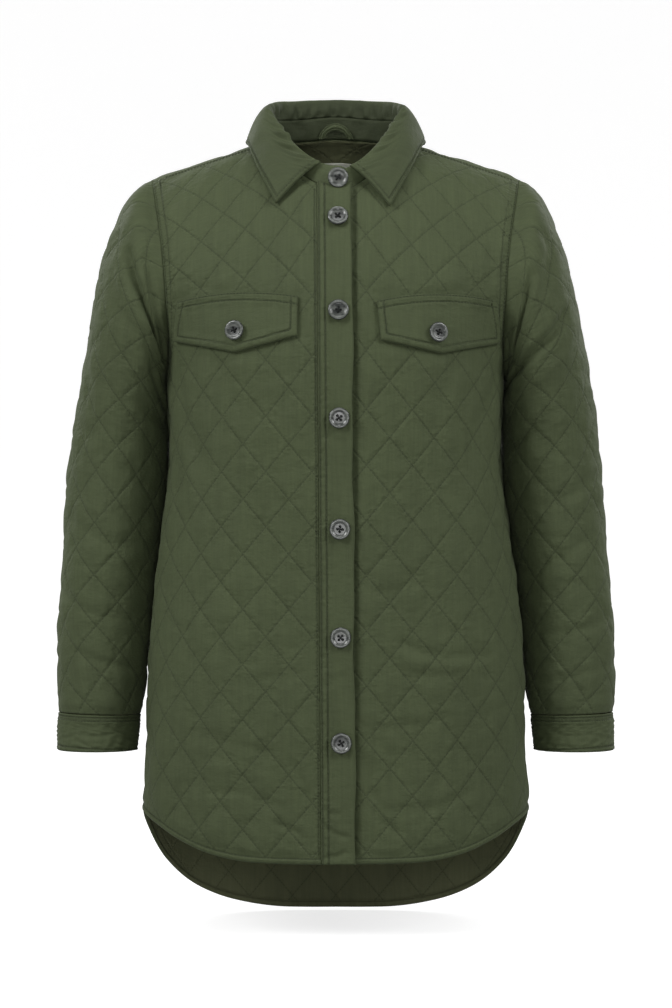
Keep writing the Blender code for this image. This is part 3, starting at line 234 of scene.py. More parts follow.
PLACKET_FOLDS = (
    (-10, 118, 6, 132, 1.6, 4), (8, 140, -8, 152, 1.2, 4), (-12, 705, 12, 716, 2.0, 3),
    (-12, 736, 10, 730, 1.8, 3), (-12, 690, 4, 694, 1.4, 3), (-10, 330, 12, 338, 0.8, 4),
    (10, 560, -8, 570, 0.8, 4))


# ---- working with smooth functions and the form ----
def smooth_curve(xs, ys):
    """A cubic through each (x, y) whose slope there is that of the points beside it; y may be a
    whole array, and then x is a line of numbers."""
    slopes = np.gradient(ys, xs, axis=0)

    def at(x):
        x = np.clip(x, xs[0], xs[-1])
        low = np.clip(np.searchsorted(xs, x) - 1, 0, len(xs) - 2)
        span = xs[low + 1] - xs[low]
        u = (x - xs[low]) / span
        if ys.ndim > 1:
            span, u = [value.reshape((-1,) + (1,) * (ys.ndim - 1)) for value in (span, u)]
        rise = u * u * (3 - 2 * u)
        return (ys[low] * (1 - rise) + ys[low + 1] * rise
                + span * slopes[low] * u * (1 - u) ** 2
                - span * slopes[low + 1] * u * u * (1 - u))
    return at


def ease(x):
    """0 below 0, 1 above 1 and x * x * (3 - 2 * x) between."""
    x = np.clip(x, 0, 1)
    return x * x * (3 - 2 * x)


def fade(x, start, reach):
    """Eases from 0 at start to 1 a reach further on, both in mm."""
    return ease((x - start * MM) / (reach * MM))


def bell(x, middle, half):
    """exp(-((x - middle) / half)^2), with the middle and the half width in mm."""
    return np.exp(-((x - middle * MM) / (half * MM)) ** 2)


def unit(vectors):
    """Each vector over its own length."""
    return vectors / np.maximum(np.linalg.norm(vectors, axis=-1, keepdims=True), 1e-12)


def grid_normals(points, axis, sample):
    """Normals of a grid, down x across, turned so that the sample ones point along +axis."""
    normals = unit(np.cross(np.gradient(points, axis=0), np.gradient(points, axis=1)))
    return normals if normals[sample][..., axis].mean() > 0 else -normals


def lengths_along(points, axis=0):
    """Distance of each point from the start of its line; the lines run along this axis."""
    steps = np.linalg.norm(np.diff(points, axis=axis), axis=-1).cumsum(axis=axis)
    return np.insert(steps, 0, 0.0, axis=axis)


def read_line(values, along, at):
    """Rows of values at distances along a line, on the straight between two of its points."""
    return np.stack([np.interp(at, along, column) for column in values.T], axis=1)


ROW = [smooth_curve(BODY_ROWS[:, 0], BODY_ROWS[:, column]) for column in range(5)]


def shoulder_height(x):
    """Top height minus slope times the length of (x, rounding)."""
    return SHOULDER_TOP - SHOULDER_SLOPE * np.hypot(x, SHOULDER_ROUND)


def half_rows(face, drops, steps=160):
    """Half of each row: x = full * sin(t)^(2/n), y = depth * cos(t)^(2/n), z = shoulder height - drop.

    The shoulder's height fades out with the drop, and depth grows from the ridge as
    (1 - left^p)^(1/q), where left is the share of the arch's reach still below.
    """
    drops = np.atleast_1d(drops)[:, None]
    arch = ARCH[face]
    n = arch["roundness"]
    edge_share = ARMHOLE_SHARE * np.clip(1 - (drops / ARMHOLE_DROP) ** 2.2, 0, 1) ** 0.6
    full = ROW[arch["edge"]](drops) / (1 - edge_share ** n) ** (1 / n)
    left = np.clip(1 - drops / arch["reach"], 0, 1)
    depth = ROW[arch["column"]](drops) * (1 - left ** arch["height_power"]) ** (1 / arch["depth_power"])
    turn = np.arccos(edge_share ** (n / 2)) * np.linspace(0, 1, steps)[None, :]
    x = full * np.sin(turn) ** (2 / n)
    y = face * depth * np.cos(turn) ** (2 / n)
    z = shoulder_height(x) * (1 - ease(drops / LEVEL_DROP)) - drops
    points = np.stack([x, y, z], axis=2)
    return points, lengths_along(points, 1)


def read_rows(points, along, distance):
    """The point of each row at its own distance along it, on the straight between two samples."""
    low = np.clip((along < distance[:, None]).sum(axis=1) - 1, 0, along.shape[1] - 2)
    rows = np.arange(len(distance))
    start, stop = along[rows, low], along[rows, low + 1]
    u = np.clip((distance - start) / np.maximum(stop - start, 1e-9), 0, 1)[:, None]
    return points[rows, low] * (1 - u) + points[rows, low + 1] * u


class Face:
    """One face of the body as a table of points: rows down the cloth, columns out to the seam."""

    COLUMNS = 121

    def __init__(self, face):
        self.drops = np.concatenate([np.linspace(0, 1, 60) ** 2 * 60, np.linspace(61, 790, 365)]) * MM
        points, along = half_rows(face, self.drops)
        line = read_rows(points, along, np.full(len(self.drops), 95 * MM))
        self.downs = lengths_along(line)
        self.widths = along[:, -1]
        shares = np.linspace(0, 1, self.COLUMNS)
        self.points = np.stack([read_rows(points, along, self.widths * share) for share in shares],
                               axis=1)
        run = np.gradient(self.points, axis=1)
        fall = np.gradient(self.points, axis=0)
        self.normals = unit(np.cross(run, fall) * face)
        self.normals[:, 0, 0] = 0

    def down(self, drop):
        """Cloth distance from the ridge to the row with this drop."""
        return np.interp(drop, self.drops, self.downs)

    def drop(self, down):
        """Drop of the row at this cloth distance from the ridge."""
        return np.interp(down, self.downs, self.drops)

    def width(self, down):
        """Distance along a row from its middle to its seam edge."""
        return np.interp(down, self.downs, self.widths)

    def read(self, across, down):
        """Point and normal between the four samples around (across, down)."""
        row = np.interp(down, self.downs, np.arange(len(self.downs)))
        column = np.clip(np.abs(across) / self.width(down), 0, 1) * (self.COLUMNS - 1)
        i = np.clip(row.astype(int), 0, len(self.downs) - 2)
        j = np.clip(column.astype(int), 0, self.COLUMNS - 2)
        u, v = (row - i)[..., None], (column - j)[..., None]
        side = np.stack([np.where(across < 0, -1, 1)] + [np.ones_like(across)] * 2, axis=-1)
        return [(table[i, j] * (1 - u) * (1 - v) + table[i + 1, j] * u * (1 - v)
                 + table[i, j + 1] * (1 - u) * v + table[i + 1, j + 1] * u * v) * side
                for table in (self.points, self.normals)]


FACES = {face: Face(face) for face in (FRONT, BACK)}
RIDGE_NORMALS = unit(FACES[FRONT].normals[0] + FACES[BACK].normals[0])
for table in FACES.values():
    table.normals[0] = RIDGE_NORMALS


def on_body(face, across, down):
    """Points and outward normals of the body. A negative down lies on the other face."""
    across, down = np.broadcast_arrays(np.asarray(across, float), np.asarray(down, float))
    over = (down < 0)[..., None]
    own, other = FACES[face].read(across, np.abs(down)), FACES[-face].read(across, np.abs(down))
    return np.where(over, other[0], own[0]), np.where(over, other[1], own[1])


def placket_middle(z):
    """The middle of the placket drifts in a straight line from the neck to the hem."""
    share = np.clip((z - HEM_FRONT) / (-46 * MM - HEM_FRONT), 0, 1)
    return PLACKET_FOOT + (PLACKET_TOP - PLACKET_FOOT) * share


def lift(across):
    """The right front stands out by the lift at the opening, fading to 0."""
    return PLACKET_LIFT * (1 - ease((np.abs(across) - PLACKET_HALF) / LIFT_FADE))


def raised_by(side, across):
    """The lift of the right front, side -1; the left one isn't lifted."""
    return lift(across) if side < 0 else 0.0 * across


def cloth_of(face, x, z):
    """Cloth coordinates of the point of a face that lies at x and z."""
    drop = -z
    for _ in range(30):
        drop = max(shoulder_height(x) * (1 - ease(drop / LEVEL_DROP)) - z, 0)
    points, along = half_rows(face, drop)
    return math.copysign(np.interp(abs(x), points[0, :, 0], along[0]), x), float(FACES[face].down(drop))


def neck_down(across):
    """Cloth distance from the ridge to the front's neck edge: reach * (1 - share^2)^(1/power)."""
    share = np.clip(np.abs(across) / (NECK_HALF + NECK_CUT), 0, 1)
    reach = FACES[FRONT].down(NECK_FRONT_DROP) + NECK_CUT - SHOULDER_SEAM
    return reach * (1 - share ** 2) ** (1 / NECK_FRONT_POWER) + SHOULDER_SEAM


def neck_cloth(turn, spread=0.0):
    """Face, across and down of the neck edge: turn 0 is the back's middle, 1 and -1 the front's."""
    size = abs(turn)
    half = NECK_HALF + spread
    if size <= NECK_BACK_TURN:
        angle = size / NECK_BACK_TURN * math.pi / 2
        reach = FACES[BACK].down(NECK_BACK_DROP) + spread + SHOULDER_SEAM
        down = reach * math.cos(angle) ** (2 / NECK_POWER) - SHOULDER_SEAM
        return BACK, math.copysign(half * math.sin(angle), turn), down
    angle = (size - NECK_BACK_TURN) / (1 - NECK_BACK_TURN) * math.pi / 2
    reach = FACES[FRONT].down(NECK_FRONT_DROP) + spread - SHOULDER_SEAM
    down = reach * math.sin(angle) ** (2 / NECK_FRONT_POWER) + SHOULDER_SEAM
    return FRONT, math.copysign(1, turn) * half * math.cos(angle), down


HEM_RISE = {face: smooth_curve(HEM_ROWS[:, 0], HEM_ROWS[:, column])
            for face, column in ((FRONT, 1), (BACK, 2))}


def hem_down(face, across, up):
    """Cloth distance from the ridge to the hem, or to a line this far above it."""
    table = FACES[face]
    middle = HEM_FRONT if face == FRONT else HEM_BACK
    down = np.full(np.shape(across), table.down(-HEM_SIDE))
    for _ in range(6):
        share = np.clip(np.abs(across) / table.width(down), 0, 1)
        rise = HEM_RISE[face](share)
        down = table.down(-(middle + (HEM_SIDE - middle) * rise) - up)
    return down


def placket_edge(side, down):
    """Distance across of the placket's sewn (-1) or free (1) edge."""
    return placket_middle(-FACES[FRONT].drop(down)) + side * PLACKET_HALF


# ---- grids of cloth points ----
def resample(line, count):
    """Points at equal steps along a line of cloth points."""
    line = np.asarray(line, float)
    along = lengths_along(line)
    return read_line(line, along, np.linspace(0, along[-1], count))


def between_edges(top, bottom, left, right):
    """Grid inside four edges: (1-v) top + v bottom + (1-u) left + u right, less the corners' blend."""
    u = np.linspace(0, 1, len(top))[None, :, None]
    v = np.linspace(0, 1, len(left))[:, None, None]
    corners = (1 - v) * ((1 - u) * top[0] + u * top[-1]) + v * ((1 - u) * bottom[0] + u * bottom[-1])
    sides = (1 - u) * left[:, None] + u * right[:, None]
    return (1 - v) * top[None] + v * bottom[None] + sides - corners


def odd(length, cell):
    """An odd number of grid lines that puts about one cell in each step."""
    return 2 * max(1, round(length / cell / 2)) + 1


def armhole_line(face, seam_down, steps=90):
    """Cloth points of the armhole edge, from the shoulder seam or the ridge to the underarm."""
    table = FACES[face]
    drops = ARMHOLE_DROP * np.linspace(0, 1, steps) ** 1.3
    downs = table.down(drops)
    downs = np.concatenate([[seam_down], downs[downs > max(seam_down, 0) + 0.5 * MM]])
    if seam_down < 0:
        downs = np.concatenate([[seam_down, seam_down / 2, 0], downs[1:]])
    across = np.where(downs < 0, FACES[-face].width(np.abs(downs)), table.width(np.maximum(downs, 0)))
    return np.stack([across, downs], axis=1)


def trimmed(line, by):
    """The line moved square to itself, into the panel that lies on its lower, inner side."""
    along = unit(np.gradient(line, axis=0))
    along[-1] = (1, 0)
    return line + np.stack([-along[:, 1], along[:, 0]], axis=1) * by


def side_line(face, up):
    """Side seam from the underarm to just above the hem."""
    table = FACES[face]
    downs = table.down(np.linspace(ARMHOLE_DROP + SEAM_GAP / 2, -HEM_SIDE - up, 120))
    return np.stack([table.width(downs) - SEAM_GAP / 2, downs], axis=1)


def front_grid(inner):
    """Grid of a front on the +X side; inner gives its middle edge at a distance down."""
    down = SHOULDER_SEAM + SEAM_GAP / 2
    armhole = trimmed(armhole_line(FRONT, down), SEAM_GAP / 2)
    side = side_line(FRONT, HEM_BAND - HEM_TUCK)
    start = inner(neck_down(0))
    angles = np.linspace(math.acos(np.clip(start / (NECK_HALF + NECK_CUT), -1, 1)), math.radians(4), 60)
    neck = (NECK_HALF + NECK_CUT) * np.cos(angles)
    top = np.concatenate([np.stack([neck, neck_down(neck)], axis=1),
                          [(NECK_HALF + NECK_CUT, down)], [armhole[0]]])
    right = np.concatenate([armhole[:-1], side])
    foot = inner(float(hem_down(FRONT, np.array(0.0), HEM_BAND)))
    steps = np.linspace(foot, side[-1, 0], 90)
    bottom = np.stack([steps, hem_down(FRONT, steps, HEM_BAND - HEM_TUCK)], axis=1)
    downs = np.linspace(top[0, 1], bottom[0, 1], 200)
    left = np.stack([np.array([inner(d) for d in downs]), downs], axis=1)
    columns, rows = [odd(size, CELL) for size in FRONT_SIZE]
    return between_edges(resample(top, columns), resample(bottom, columns),
                         resample(left, rows), resample(right, rows))


def back_grid():
    """Grid of the back, from the wearer's right (-X) to the left."""
    down = -SHOULDER_SEAM + SEAM_GAP / 2
    armhole = trimmed(armhole_line(BACK, down), SEAM_GAP / 2)
    side = side_line(BACK, HEM_BAND - HEM_TUCK)
    neck = np.array([neck_cloth(turn, NECK_CUT)[1:] for turn in np.linspace(0, NECK_BACK_TURN, 50)])
    half = np.concatenate([neck, [armhole[0]]])
    top = np.concatenate([half[::-1] * (-1, 1), half[1:]])
    right = np.concatenate([armhole[:-1], side])
    steps = np.linspace(-side[-1, 0], side[-1, 0], 181)
    bottom = np.stack([steps, hem_down(BACK, steps, HEM_BAND - HEM_TUCK)], axis=1)
    columns, rows = [odd(size, CELL) for size in BACK_SIZE]
    right = resample(right, rows)
    return between_edges(resample(top, columns), resample(bottom, columns), right * (-1, 1), right)


def edge_distance(grid):
    """Distance of each grid point from the nearest of the grid's four edges, along its lines."""
    across, down = lengths_along(grid, 1), lengths_along(grid)
    return np.minimum.reduce([across, across[:, -1:] - across, down, down[-1:] - down])


# ---- relief of the cloth ----
def lattice(cloth, start):
    """Counts s and t of the two families of sewn lines, across / width +- down / height, and
    the distance from the nearest line: the share of a line left over times the lines' spacing."""
    offset = (cloth - start) / DIAMOND
    s, t = offset[..., 0] + offset[..., 1], offset[..., 0] - offset[..., 1]
    return s, t, np.minimum(np.abs(s - np.round(s)), np.abs(t - np.round(t))) * LINE_SPACING


def pillows(cloth, start):
    """Quilted relief, 0 on the sewn lines and about 1 in the middles.

    It is 0.6 * |sin(pi s) * sin(pi t)|^0.7 + 0.4 * (1 - exp(-distance from a line / 3.5 mm)),
    and its height wanders slowly over the cloth.
    """
    s, t, near = lattice(cloth, start)
    wander = np.clip(0.95 + 0.30 * crumple(cloth, 5, 90, 260), 0.4, 1.4)
    return wander * (0.6 * np.abs(np.sin(np.pi * s) * np.sin(np.pi * t)) ** 0.7
                     + 0.4 * (1 - np.exp(-near / (3.5 * MM))))


def puckers(cloth, start, seed):
    """Short ridges drawn in by the stitches, fading within a few millimetres of each sewn line."""
    near = lattice(cloth, start)[2]
    return crumple(cloth, seed, 9, 17, 1.0, 30) * bell(near, 0, 7) * (1 - np.exp(-near / (1.5 * MM)))


def line_distance(cloth, lines):
    """Distance of cloth points from the nearest of several open lines."""
    flat = cloth.reshape(-1, 2)
    best = np.full(len(flat), 0.1)
    for line in lines:
        for start, stop in zip(line[:-1], line[1:]):
            run = stop - start
            share = np.clip((flat - start) @ run / max(run @ run, 1e-12), 0, 1)
            best = np.minimum(best, np.linalg.norm(flat - start - share[:, None] * run, axis=1))
    return best.reshape(cloth.shape[:-1])


def troughs(cloth, folds):
    """Sum over folds of depth * exp(-(gap / half width)^2), less a wider third of it, fading at
    both ends. A fold bows 7 % of its length out of the straight."""
    total = np.zeros(cloth.shape[:-1])
    for row in folds:
        a0, d0, a1, d1, depth, half = np.array(row) * MM
        line = np.array([a1 - a0, d1 - d0])
        offset = cloth - (a0, d0)
        share = offset @ line / (line @ line)
        bow = np.array([-line[1], line[0]]) * 0.07 * np.sin(np.pi * np.clip(share, 0, 1))[..., None]
        gap = np.linalg.norm(offset - np.clip(share, 0, 1)[..., None] * line - bow, axis=-1) / half
        ends = ease((share + 0.25) / 0.45) * ease((1.25 - share) / 0.45)
        total += depth * ends * (np.exp(-gap ** 2) - 0.3 * np.exp(-(gap / 2) ** 2))
    return total


def crumple(cloth, seed, shortest, longest, stretch=1.0, waves=26):
    """Sum of plane waves with seeded directions, lengths in mm and phases; stretch lengthens them
    downwards."""
    draw = np.random.default_rng(seed)
    angle = draw.uniform(0, math.pi, waves)
    length = draw.uniform(shortest * MM, longest * MM, waves)
    phase = draw.uniform(0, 2 * math.pi, waves)
    total = np.zeros(cloth.shape[:-1])
    for a, l, p in zip(angle, length, phase):
        total += np.sin(2 * math.pi / l * (cloth[..., 0] * math.cos(a)
                                           + cloth[..., 1] * math.sin(a) / stretch) + p)
    return total / math.sqrt(waves)


def turned_edge(distance):
    """An edge rounded off at 0: -0.7 mm * (1 - distance / 1.4 mm)^2, and 0 beyond."""
    return -0.7 * MM * (1 - np.clip(distance / (1.4 * MM), 0, 1)) ** 2


def sewn_edge(distance, stitch, swell=0.35, groove=0.45):
    """A turned edge, swollen up to the stitch line by swell * sin^2 and drawn in along it, in mm."""
    swollen = swell * np.sin(np.pi * np.clip(distance / (stitch * MM), 0, 1)) ** 2
    return turned_edge(distance) + (swollen - groove * bell(distance, stitch, 0.9)) * MM


def polygon_distance(cloth, loop):
    """Distance of cloth points from a closed outline, negative inside it."""
    flat = cloth.reshape(-1, 2)
    start, stop = loop, np.roll(loop, -1, axis=0)
    line = stop - start
    offset = flat[:, None] - start[None]
    share = np.clip((offset * line).sum(2) / np.maximum((line * line).sum(1), 1e-12), 0, 1)
    distance = np.linalg.norm(offset - share[:, :, None] * line, axis=2).min(axis=1)
    a, d = flat[:, 0:1], flat[:, 1:2]
    crosses = (start[:, 1] > d) != (stop[:, 1] > d)
    where = start[:, 0] + (d - start[:, 1]) * line[:, 0] / np.where(line[:, 1] == 0, 1e-12, line[:, 1])
    inside = ((a < where) & crosses).sum(axis=1) % 2 == 1
    return np.where(inside, -distance, distance).reshape(cloth.shape[:-1])


# ---- meshes ----
def quads(rows, columns, closed=False):
    """Corner numbers of the cells of a grid; closed joins its last column to its first."""
    i, j = np.meshgrid(np.arange(rows - 1), np.arange(columns - (0 if closed else 1)), indexing="ij")
    k = (j + 1) % columns
    return np.stack([i * columns + j, i * columns + k, (i + 1) * columns + k, (i + 1) * columns + j],
                    axis=-1).reshape(-1, 4)


def rim_of(rows, columns):
    """Numbers of a grid's border points, in order round it."""
    grid = np.arange(rows * columns).reshape(rows, columns)
    return np.concatenate([grid[0, :-1], grid[:-1, -1], grid[-1, :0:-1], grid[:0:-1, 0]])


def add_mesh(name, points, faces, uv, marks, materials, sewn=None):
    """A smooth mesh object with a cloth UV map; marks gives each face its material's number.

    A second map, "sewn", holds each point's distance from the nearest topstitching, and how
    much painted shade darkens the cloth there, from 0 to 1.
    """
    mesh = bpy.data.meshes.new(name)
    mesh.from_pydata(points.tolist(), [], faces)
    for material in materials:
        mesh.materials.append(material)
    mesh.polygons.foreach_set("material_index", np.asarray(marks, dtype=np.int32))
    if uv is not None:
        corners = np.zeros(len(mesh.loops), dtype=np.int32)
        mesh.loops.foreach_get("vertex_index", corners)
        layer = mesh.uv_layers.new(name="cloth")
        layer.data.foreach_set("uv", uv[corners].astype(np.float32).ravel())
        away = np.zeros((len(uv), 2)) + (0.1, 0.0)
        if sewn is not None:
            sewn = sewn.reshape(len(uv), -1)
            away[:, :sewn.shape[1]] = sewn
        layer = mesh.uv_layers.new(name="sewn")
        layer.data.foreach_set("uv", away[corners].astype(np.float32).ravel())
    mesh.shade_smooth()
    mesh.update()
    item = bpy.data.objects.new(name, mesh)
    bpy.context.scene.collection.objects.link(item)
    return item


def wall_mesh(name, outer, inner, cloth, materials, ruled=(0.0, 0.0), sewn=None):
    """A closed wall. Its inner skin has every second line of the outer one, and a rim joins them.

    The faces turn outwards when (down x across) of the outer grid points from inner to outer.
    """
    rows, columns = outer.shape[:2]
    inner = inner[::2, ::2]
    skin, lining = quads(rows, columns), quads(*inner.shape[:2]) + rows * columns
    middle = rows // 2
    run = outer[middle, columns // 2 + 1] - outer[middle, columns // 2]
    fall = outer[middle + 1, columns // 2] - outer[middle, columns // 2]
    out = outer[middle // 2 * 2, columns // 4 * 2] - inner[middle // 2, columns // 4]
    flip = np.dot(np.cross(run, fall), out) < 0
    big, small = rim_of(rows, columns), rim_of(*inner.shape[:2]) + rows * columns
    far, next_small = np.roll(big, -2)[::2], np.roll(small, -1)
    rims = np.concatenate([np.stack([big[1::2], big[::2], small], axis=1),
                           np.stack([far, big[1::2], next_small], axis=1),
                           np.stack([big[1::2], small, next_small], axis=1)])
    lining = lining[:, ::-1]
    if flip:
        skin, lining, rims = skin[:, ::-1], lining[:, ::-1], rims[:, ::-1]
    points = np.concatenate([outer.reshape(-1, 3), inner.reshape(-1, 3)])
    uv = np.concatenate([cloth.reshape(-1, 2), cloth[::2, ::2].reshape(-1, 2)]) - np.asarray(ruled)
    faces = skin.tolist() + lining.tolist() + rims.tolist()
    marks = [0] * len(skin) + [len(materials) - 1] * len(lining) + [0] * len(rims)
    if sewn is not None:
        sewn = sewn.reshape(rows, columns, -1)
        sewn = np.concatenate([grid.reshape(-1, sewn.shape[2]) for grid in (sewn, sewn[::2, ::2])])
    return add_mesh(name, points, faces, uv, marks, materials, sewn)


def ring_mesh(name, outer, inner, cloth, materials, sewn):
    """A closed band from grids whose last column joins the first: outer skin, inner skin, two rims."""
    rows, columns = outer.shape[:2]
    around = np.concatenate([outer, inner[::-1], outer[:1]])
    points = around[:-1].reshape(-1, 3)
    faces = quads(len(around), columns, closed=True) % len(points)
    a, b, c = points[faces[columns // 3 + rows // 2 * columns][:3]]
    out = (outer - inner)[rows // 2, columns // 3]
    if np.dot(np.cross(b - a, c - b), out) < 0:
        faces = faces[:, ::-1]
    marks = np.where(np.arange(len(faces)) // columns < rows, 0, len(materials) - 1)
    uv = np.concatenate([cloth, cloth[::-1]]).reshape(-1, 2)
    away = np.concatenate([sewn, sewn[::-1]]).ravel()
    return add_mesh(name, points, faces.tolist(), uv, marks, materials, away)


def attach(piece, node=None):
    """Hides the solid that a piece takes the place of, if one is named, and parents the piece to the
    body's root.
    """
    if node:
        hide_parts(node)
    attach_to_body(piece, "root")


def declare(piece, cloth, node, folded=None):
    """Hides the solid that a cloth piece replaces and parents the piece to the body; it works out the
    area it was cut to from its grid of cloth points, but nothing uses it.

    A folded strip is cut that many times as wide, and is measured along its middle line.
    """
    attach(piece, node)
    run, fall = cloth[:-1, 1:] - cloth[:-1, :-1], cloth[1:, :-1] - cloth[:-1, :-1]
    area = float(np.abs(run[..., 0] * fall[..., 1] - run[..., 1] * fall[..., 0]).sum())
    if folded:
        area = folded * area


# ---- node groups shared by the materials ----
def new_group(name, inputs, outputs):
    """An empty shader node group with named sockets; inputs are name, type and value."""
    group = bpy.data.node_groups.new(name, "ShaderNodeTree")
    for label, kind, value in inputs:
        socket = group.interface.new_socket(label, in_out="INPUT", socket_type=kind)
        if value is not None:
            socket.default_value = value
    for label, kind in outputs:
        group.interface.new_socket(label, in_out="OUTPUT", socket_type=kind)
    return group, group.nodes.new("NodeGroupInput"), group.nodes.new("NodeGroupOutput")


def tune(node, **values):
    """Sets values on a node's inputs; an underscore stands for a space in their names."""
    for key, value in values.items():
        node.inputs[key.replace("_", " ")].default_value = value


def scaled(color, share=1.0):
    """A colour times a share, with full alpha."""
    return (*[channel * share for channel in color], 1)


class Wiring:
    """Short hands for adding nodes to a tree and joining them."""

    def __init__(self, tree):
        self.tree = tree

    def node(self, kind, **settings):
        node = self.tree.nodes.new(kind)
        for key, value in settings.items():
            setattr(node, key, value)
        return node

    def join(self, source, target):
        self.tree.links.new(source, target)

    def put(self, socket, value):
        """Joins an output to a socket, or sets a plain value on it."""
        if isinstance(value, bpy.types.NodeSocket):
            self.join(value, socket)
        else:
            socket.default_value = value

    def math(self, operation, *values):
        node = self.node("ShaderNodeMath", operation=operation)
        for socket, value in zip(node.inputs, values):
            self.put(socket, value)
        return node.outputs[0]

    def ramp(self, value, low, high, start=0.0, stop=1.0):
        """Value eased from start at low to stop at high."""
        node = self.node("ShaderNodeMapRange", interpolation_type="SMOOTHSTEP")
        for socket, item in zip(node.inputs, (value, low, high, start, stop)):
            self.put(socket, item)
        return node.outputs[0]

    def noise(self, vector, scale, detail=2.0, roughness=0.5):
        node = self.node("ShaderNodeTexNoise")
        self.join(vector, node.inputs["Vector"])
        tune(node, Scale=scale, Detail=detail, Roughness=roughness)
        return node.outputs["Fac"]

    def plus(self, *values):
        return self.math("ADD", *values)

    def times(self, *values):
        return self.math("MULTIPLY", *values)

    def split(self, vector):
        node = self.node("ShaderNodeSeparateXYZ")
        self.join(vector, node.inputs[0])
        return node.outputs

    def stretch(self, vector, factors):
        node = self.node("ShaderNodeVectorMath", operation="MULTIPLY")
        self.join(vector, node.inputs[0])
        node.inputs[1].default_value = factors
        return node.outputs[0]

    def mix(self, factor, first, second):
        node = self.node("ShaderNodeMix", data_type="RGBA")
        self.put(node.inputs["Factor"], factor)
        self.put(node.inputs[6], first)
        self.put(node.inputs[7], second)
        return node.outputs[2]

    def group(self, group, **values):
        node = self.node("ShaderNodeGroup")
        node.node_tree = group
        for key, value in values.items():
            self.put(node.inputs[key.replace("_", " ")], value)
        return node.outputs


def weave_group():
    """Plain weave: threads over and under each other, |sin x| for one set and |sin y| for the other.

    Slubs, noise drawn out along each set of threads, make some of them thicker.
    """
    group, start, end = new_group("plain weave", (("Vector", "NodeSocketVector", None),
                                                  ("Pitch", "NodeSocketFloat", 0.0006)),
                                  (("Height", "NodeSocketFloat"), ("Slubs", "NodeSocketFloat")))
    w = Wiring(group)
    place, turn = start.outputs["Vector"], w.math("DIVIDE", math.pi, start.outputs["Pitch"])
    x, y = [w.math("SINE", w.times(value, turn)) for value in w.split(place)[:2]]
    w.join(w.times(x, y), end.inputs["Height"])
    down, across = [w.noise(w.stretch(place, sizes), 1.0) for sizes in ((900, 60, 1), (60, 900, 1))]
    w.join(w.times(w.plus(down, across), 0.5), end.inputs["Slubs"])
    return group


def mottle_group():
    """Cloth colour times 1 + amount * (noise - 0.5), from broad patches and drawn-out streaks."""
    group, start, end = new_group("cloth mottle", (("Color", "NodeSocketColor", (0.05, 0.07, 0.03, 1)),
                                                   ("Vector", "NodeSocketVector", None),
                                                   ("Amount", "NodeSocketFloat", 0.3)),
                                  (("Color", "NodeSocketColor"),))
    w = Wiring(group)
    broad = w.noise(w.stretch(start.outputs["Vector"], (9, 6, 1)), 1.0, 3.0)
    streaks = w.noise(w.stretch(start.outputs["Vector"], (110, 14, 1)), 1.0, 3.0)
    both = w.plus(w.times(broad, 0.5), w.times(streaks, 0.5))
    factor = w.plus(w.times(w.math("SUBTRACT", both, 0.5), start.outputs["Amount"]), 1.0)
    scale = w.node("ShaderNodeVectorMath", operation="SCALE")
    w.join(start.outputs["Color"], scale.inputs[0])
    w.join(factor, scale.inputs["Scale"])
    w.join(scale.outputs[0], end.inputs["Color"])
    return group


def quilting_group():
    """Sewn lines of the quilting, from cloth points counted from a crossing.

    s and t are across / width +- down / height. A line runs where s or t is whole; its
    stitches are where the other one, counted in stitch lengths, has a small remainder.
    """
    group, start, end = new_group("quilting stitches", (("Vector", "NodeSocketVector", None),
                                                        ("Stitch", "NodeSocketFloat", 0.0034)),
                                  (("Thread", "NodeSocketFloat"), ("Line", "NodeSocketFloat"),
                                   ("Pucker", "NodeSocketFloat")))
    w = Wiring(group)
    wide, tall = [float(v) for v in DIAMOND]
    length = math.hypot(wide, tall) / 2
    a, d = [w.math("DIVIDE", *pair) for pair in zip(w.split(start.outputs["Vector"]), (wide, tall))]
    count = w.plus(a, d), w.math("SUBTRACT", a, d)
    thread, line, pucker = [], [], []
    for own, other in (count, count[::-1]):
        near = w.math("SUBTRACT", own, w.math("ROUND", own))
        gap = w.times(w.math("ABSOLUTE", near), float(LINE_SPACING))
        beat = w.math("FRACT", w.math("DIVIDE", w.times(other, length), start.outputs["Stitch"]))
        dash = w.ramp(w.math("ABSOLUTE", w.math("SUBTRACT", beat, 0.5)), 0.27, 0.36, 1.0, 0.0)
        thread.append(w.times(w.ramp(gap, 0.00025, 0.0006, 1.0, 0.0), dash))
        line.append(w.ramp(gap, 0.0, 0.0016, 1.0, 0.0))
        pucker.append(w.ramp(gap, 0.001, 0.009, 1.0, 0.0))
    for parts, label in ((thread, "Thread"), (line, "Line"), (pucker, "Pucker")):
        w.join(w.math("MAXIMUM", *parts), end.inputs[label])
    return group


def start_material(name, roughness):
    """A new material, its wiring and its shader node."""
    material = bpy.data.materials.new(name)
    material.use_nodes = True
    shader = material.node_tree.nodes["Principled BSDF"]
    tune(shader, Roughness=roughness)
    return material, Wiring(material.node_tree), shader


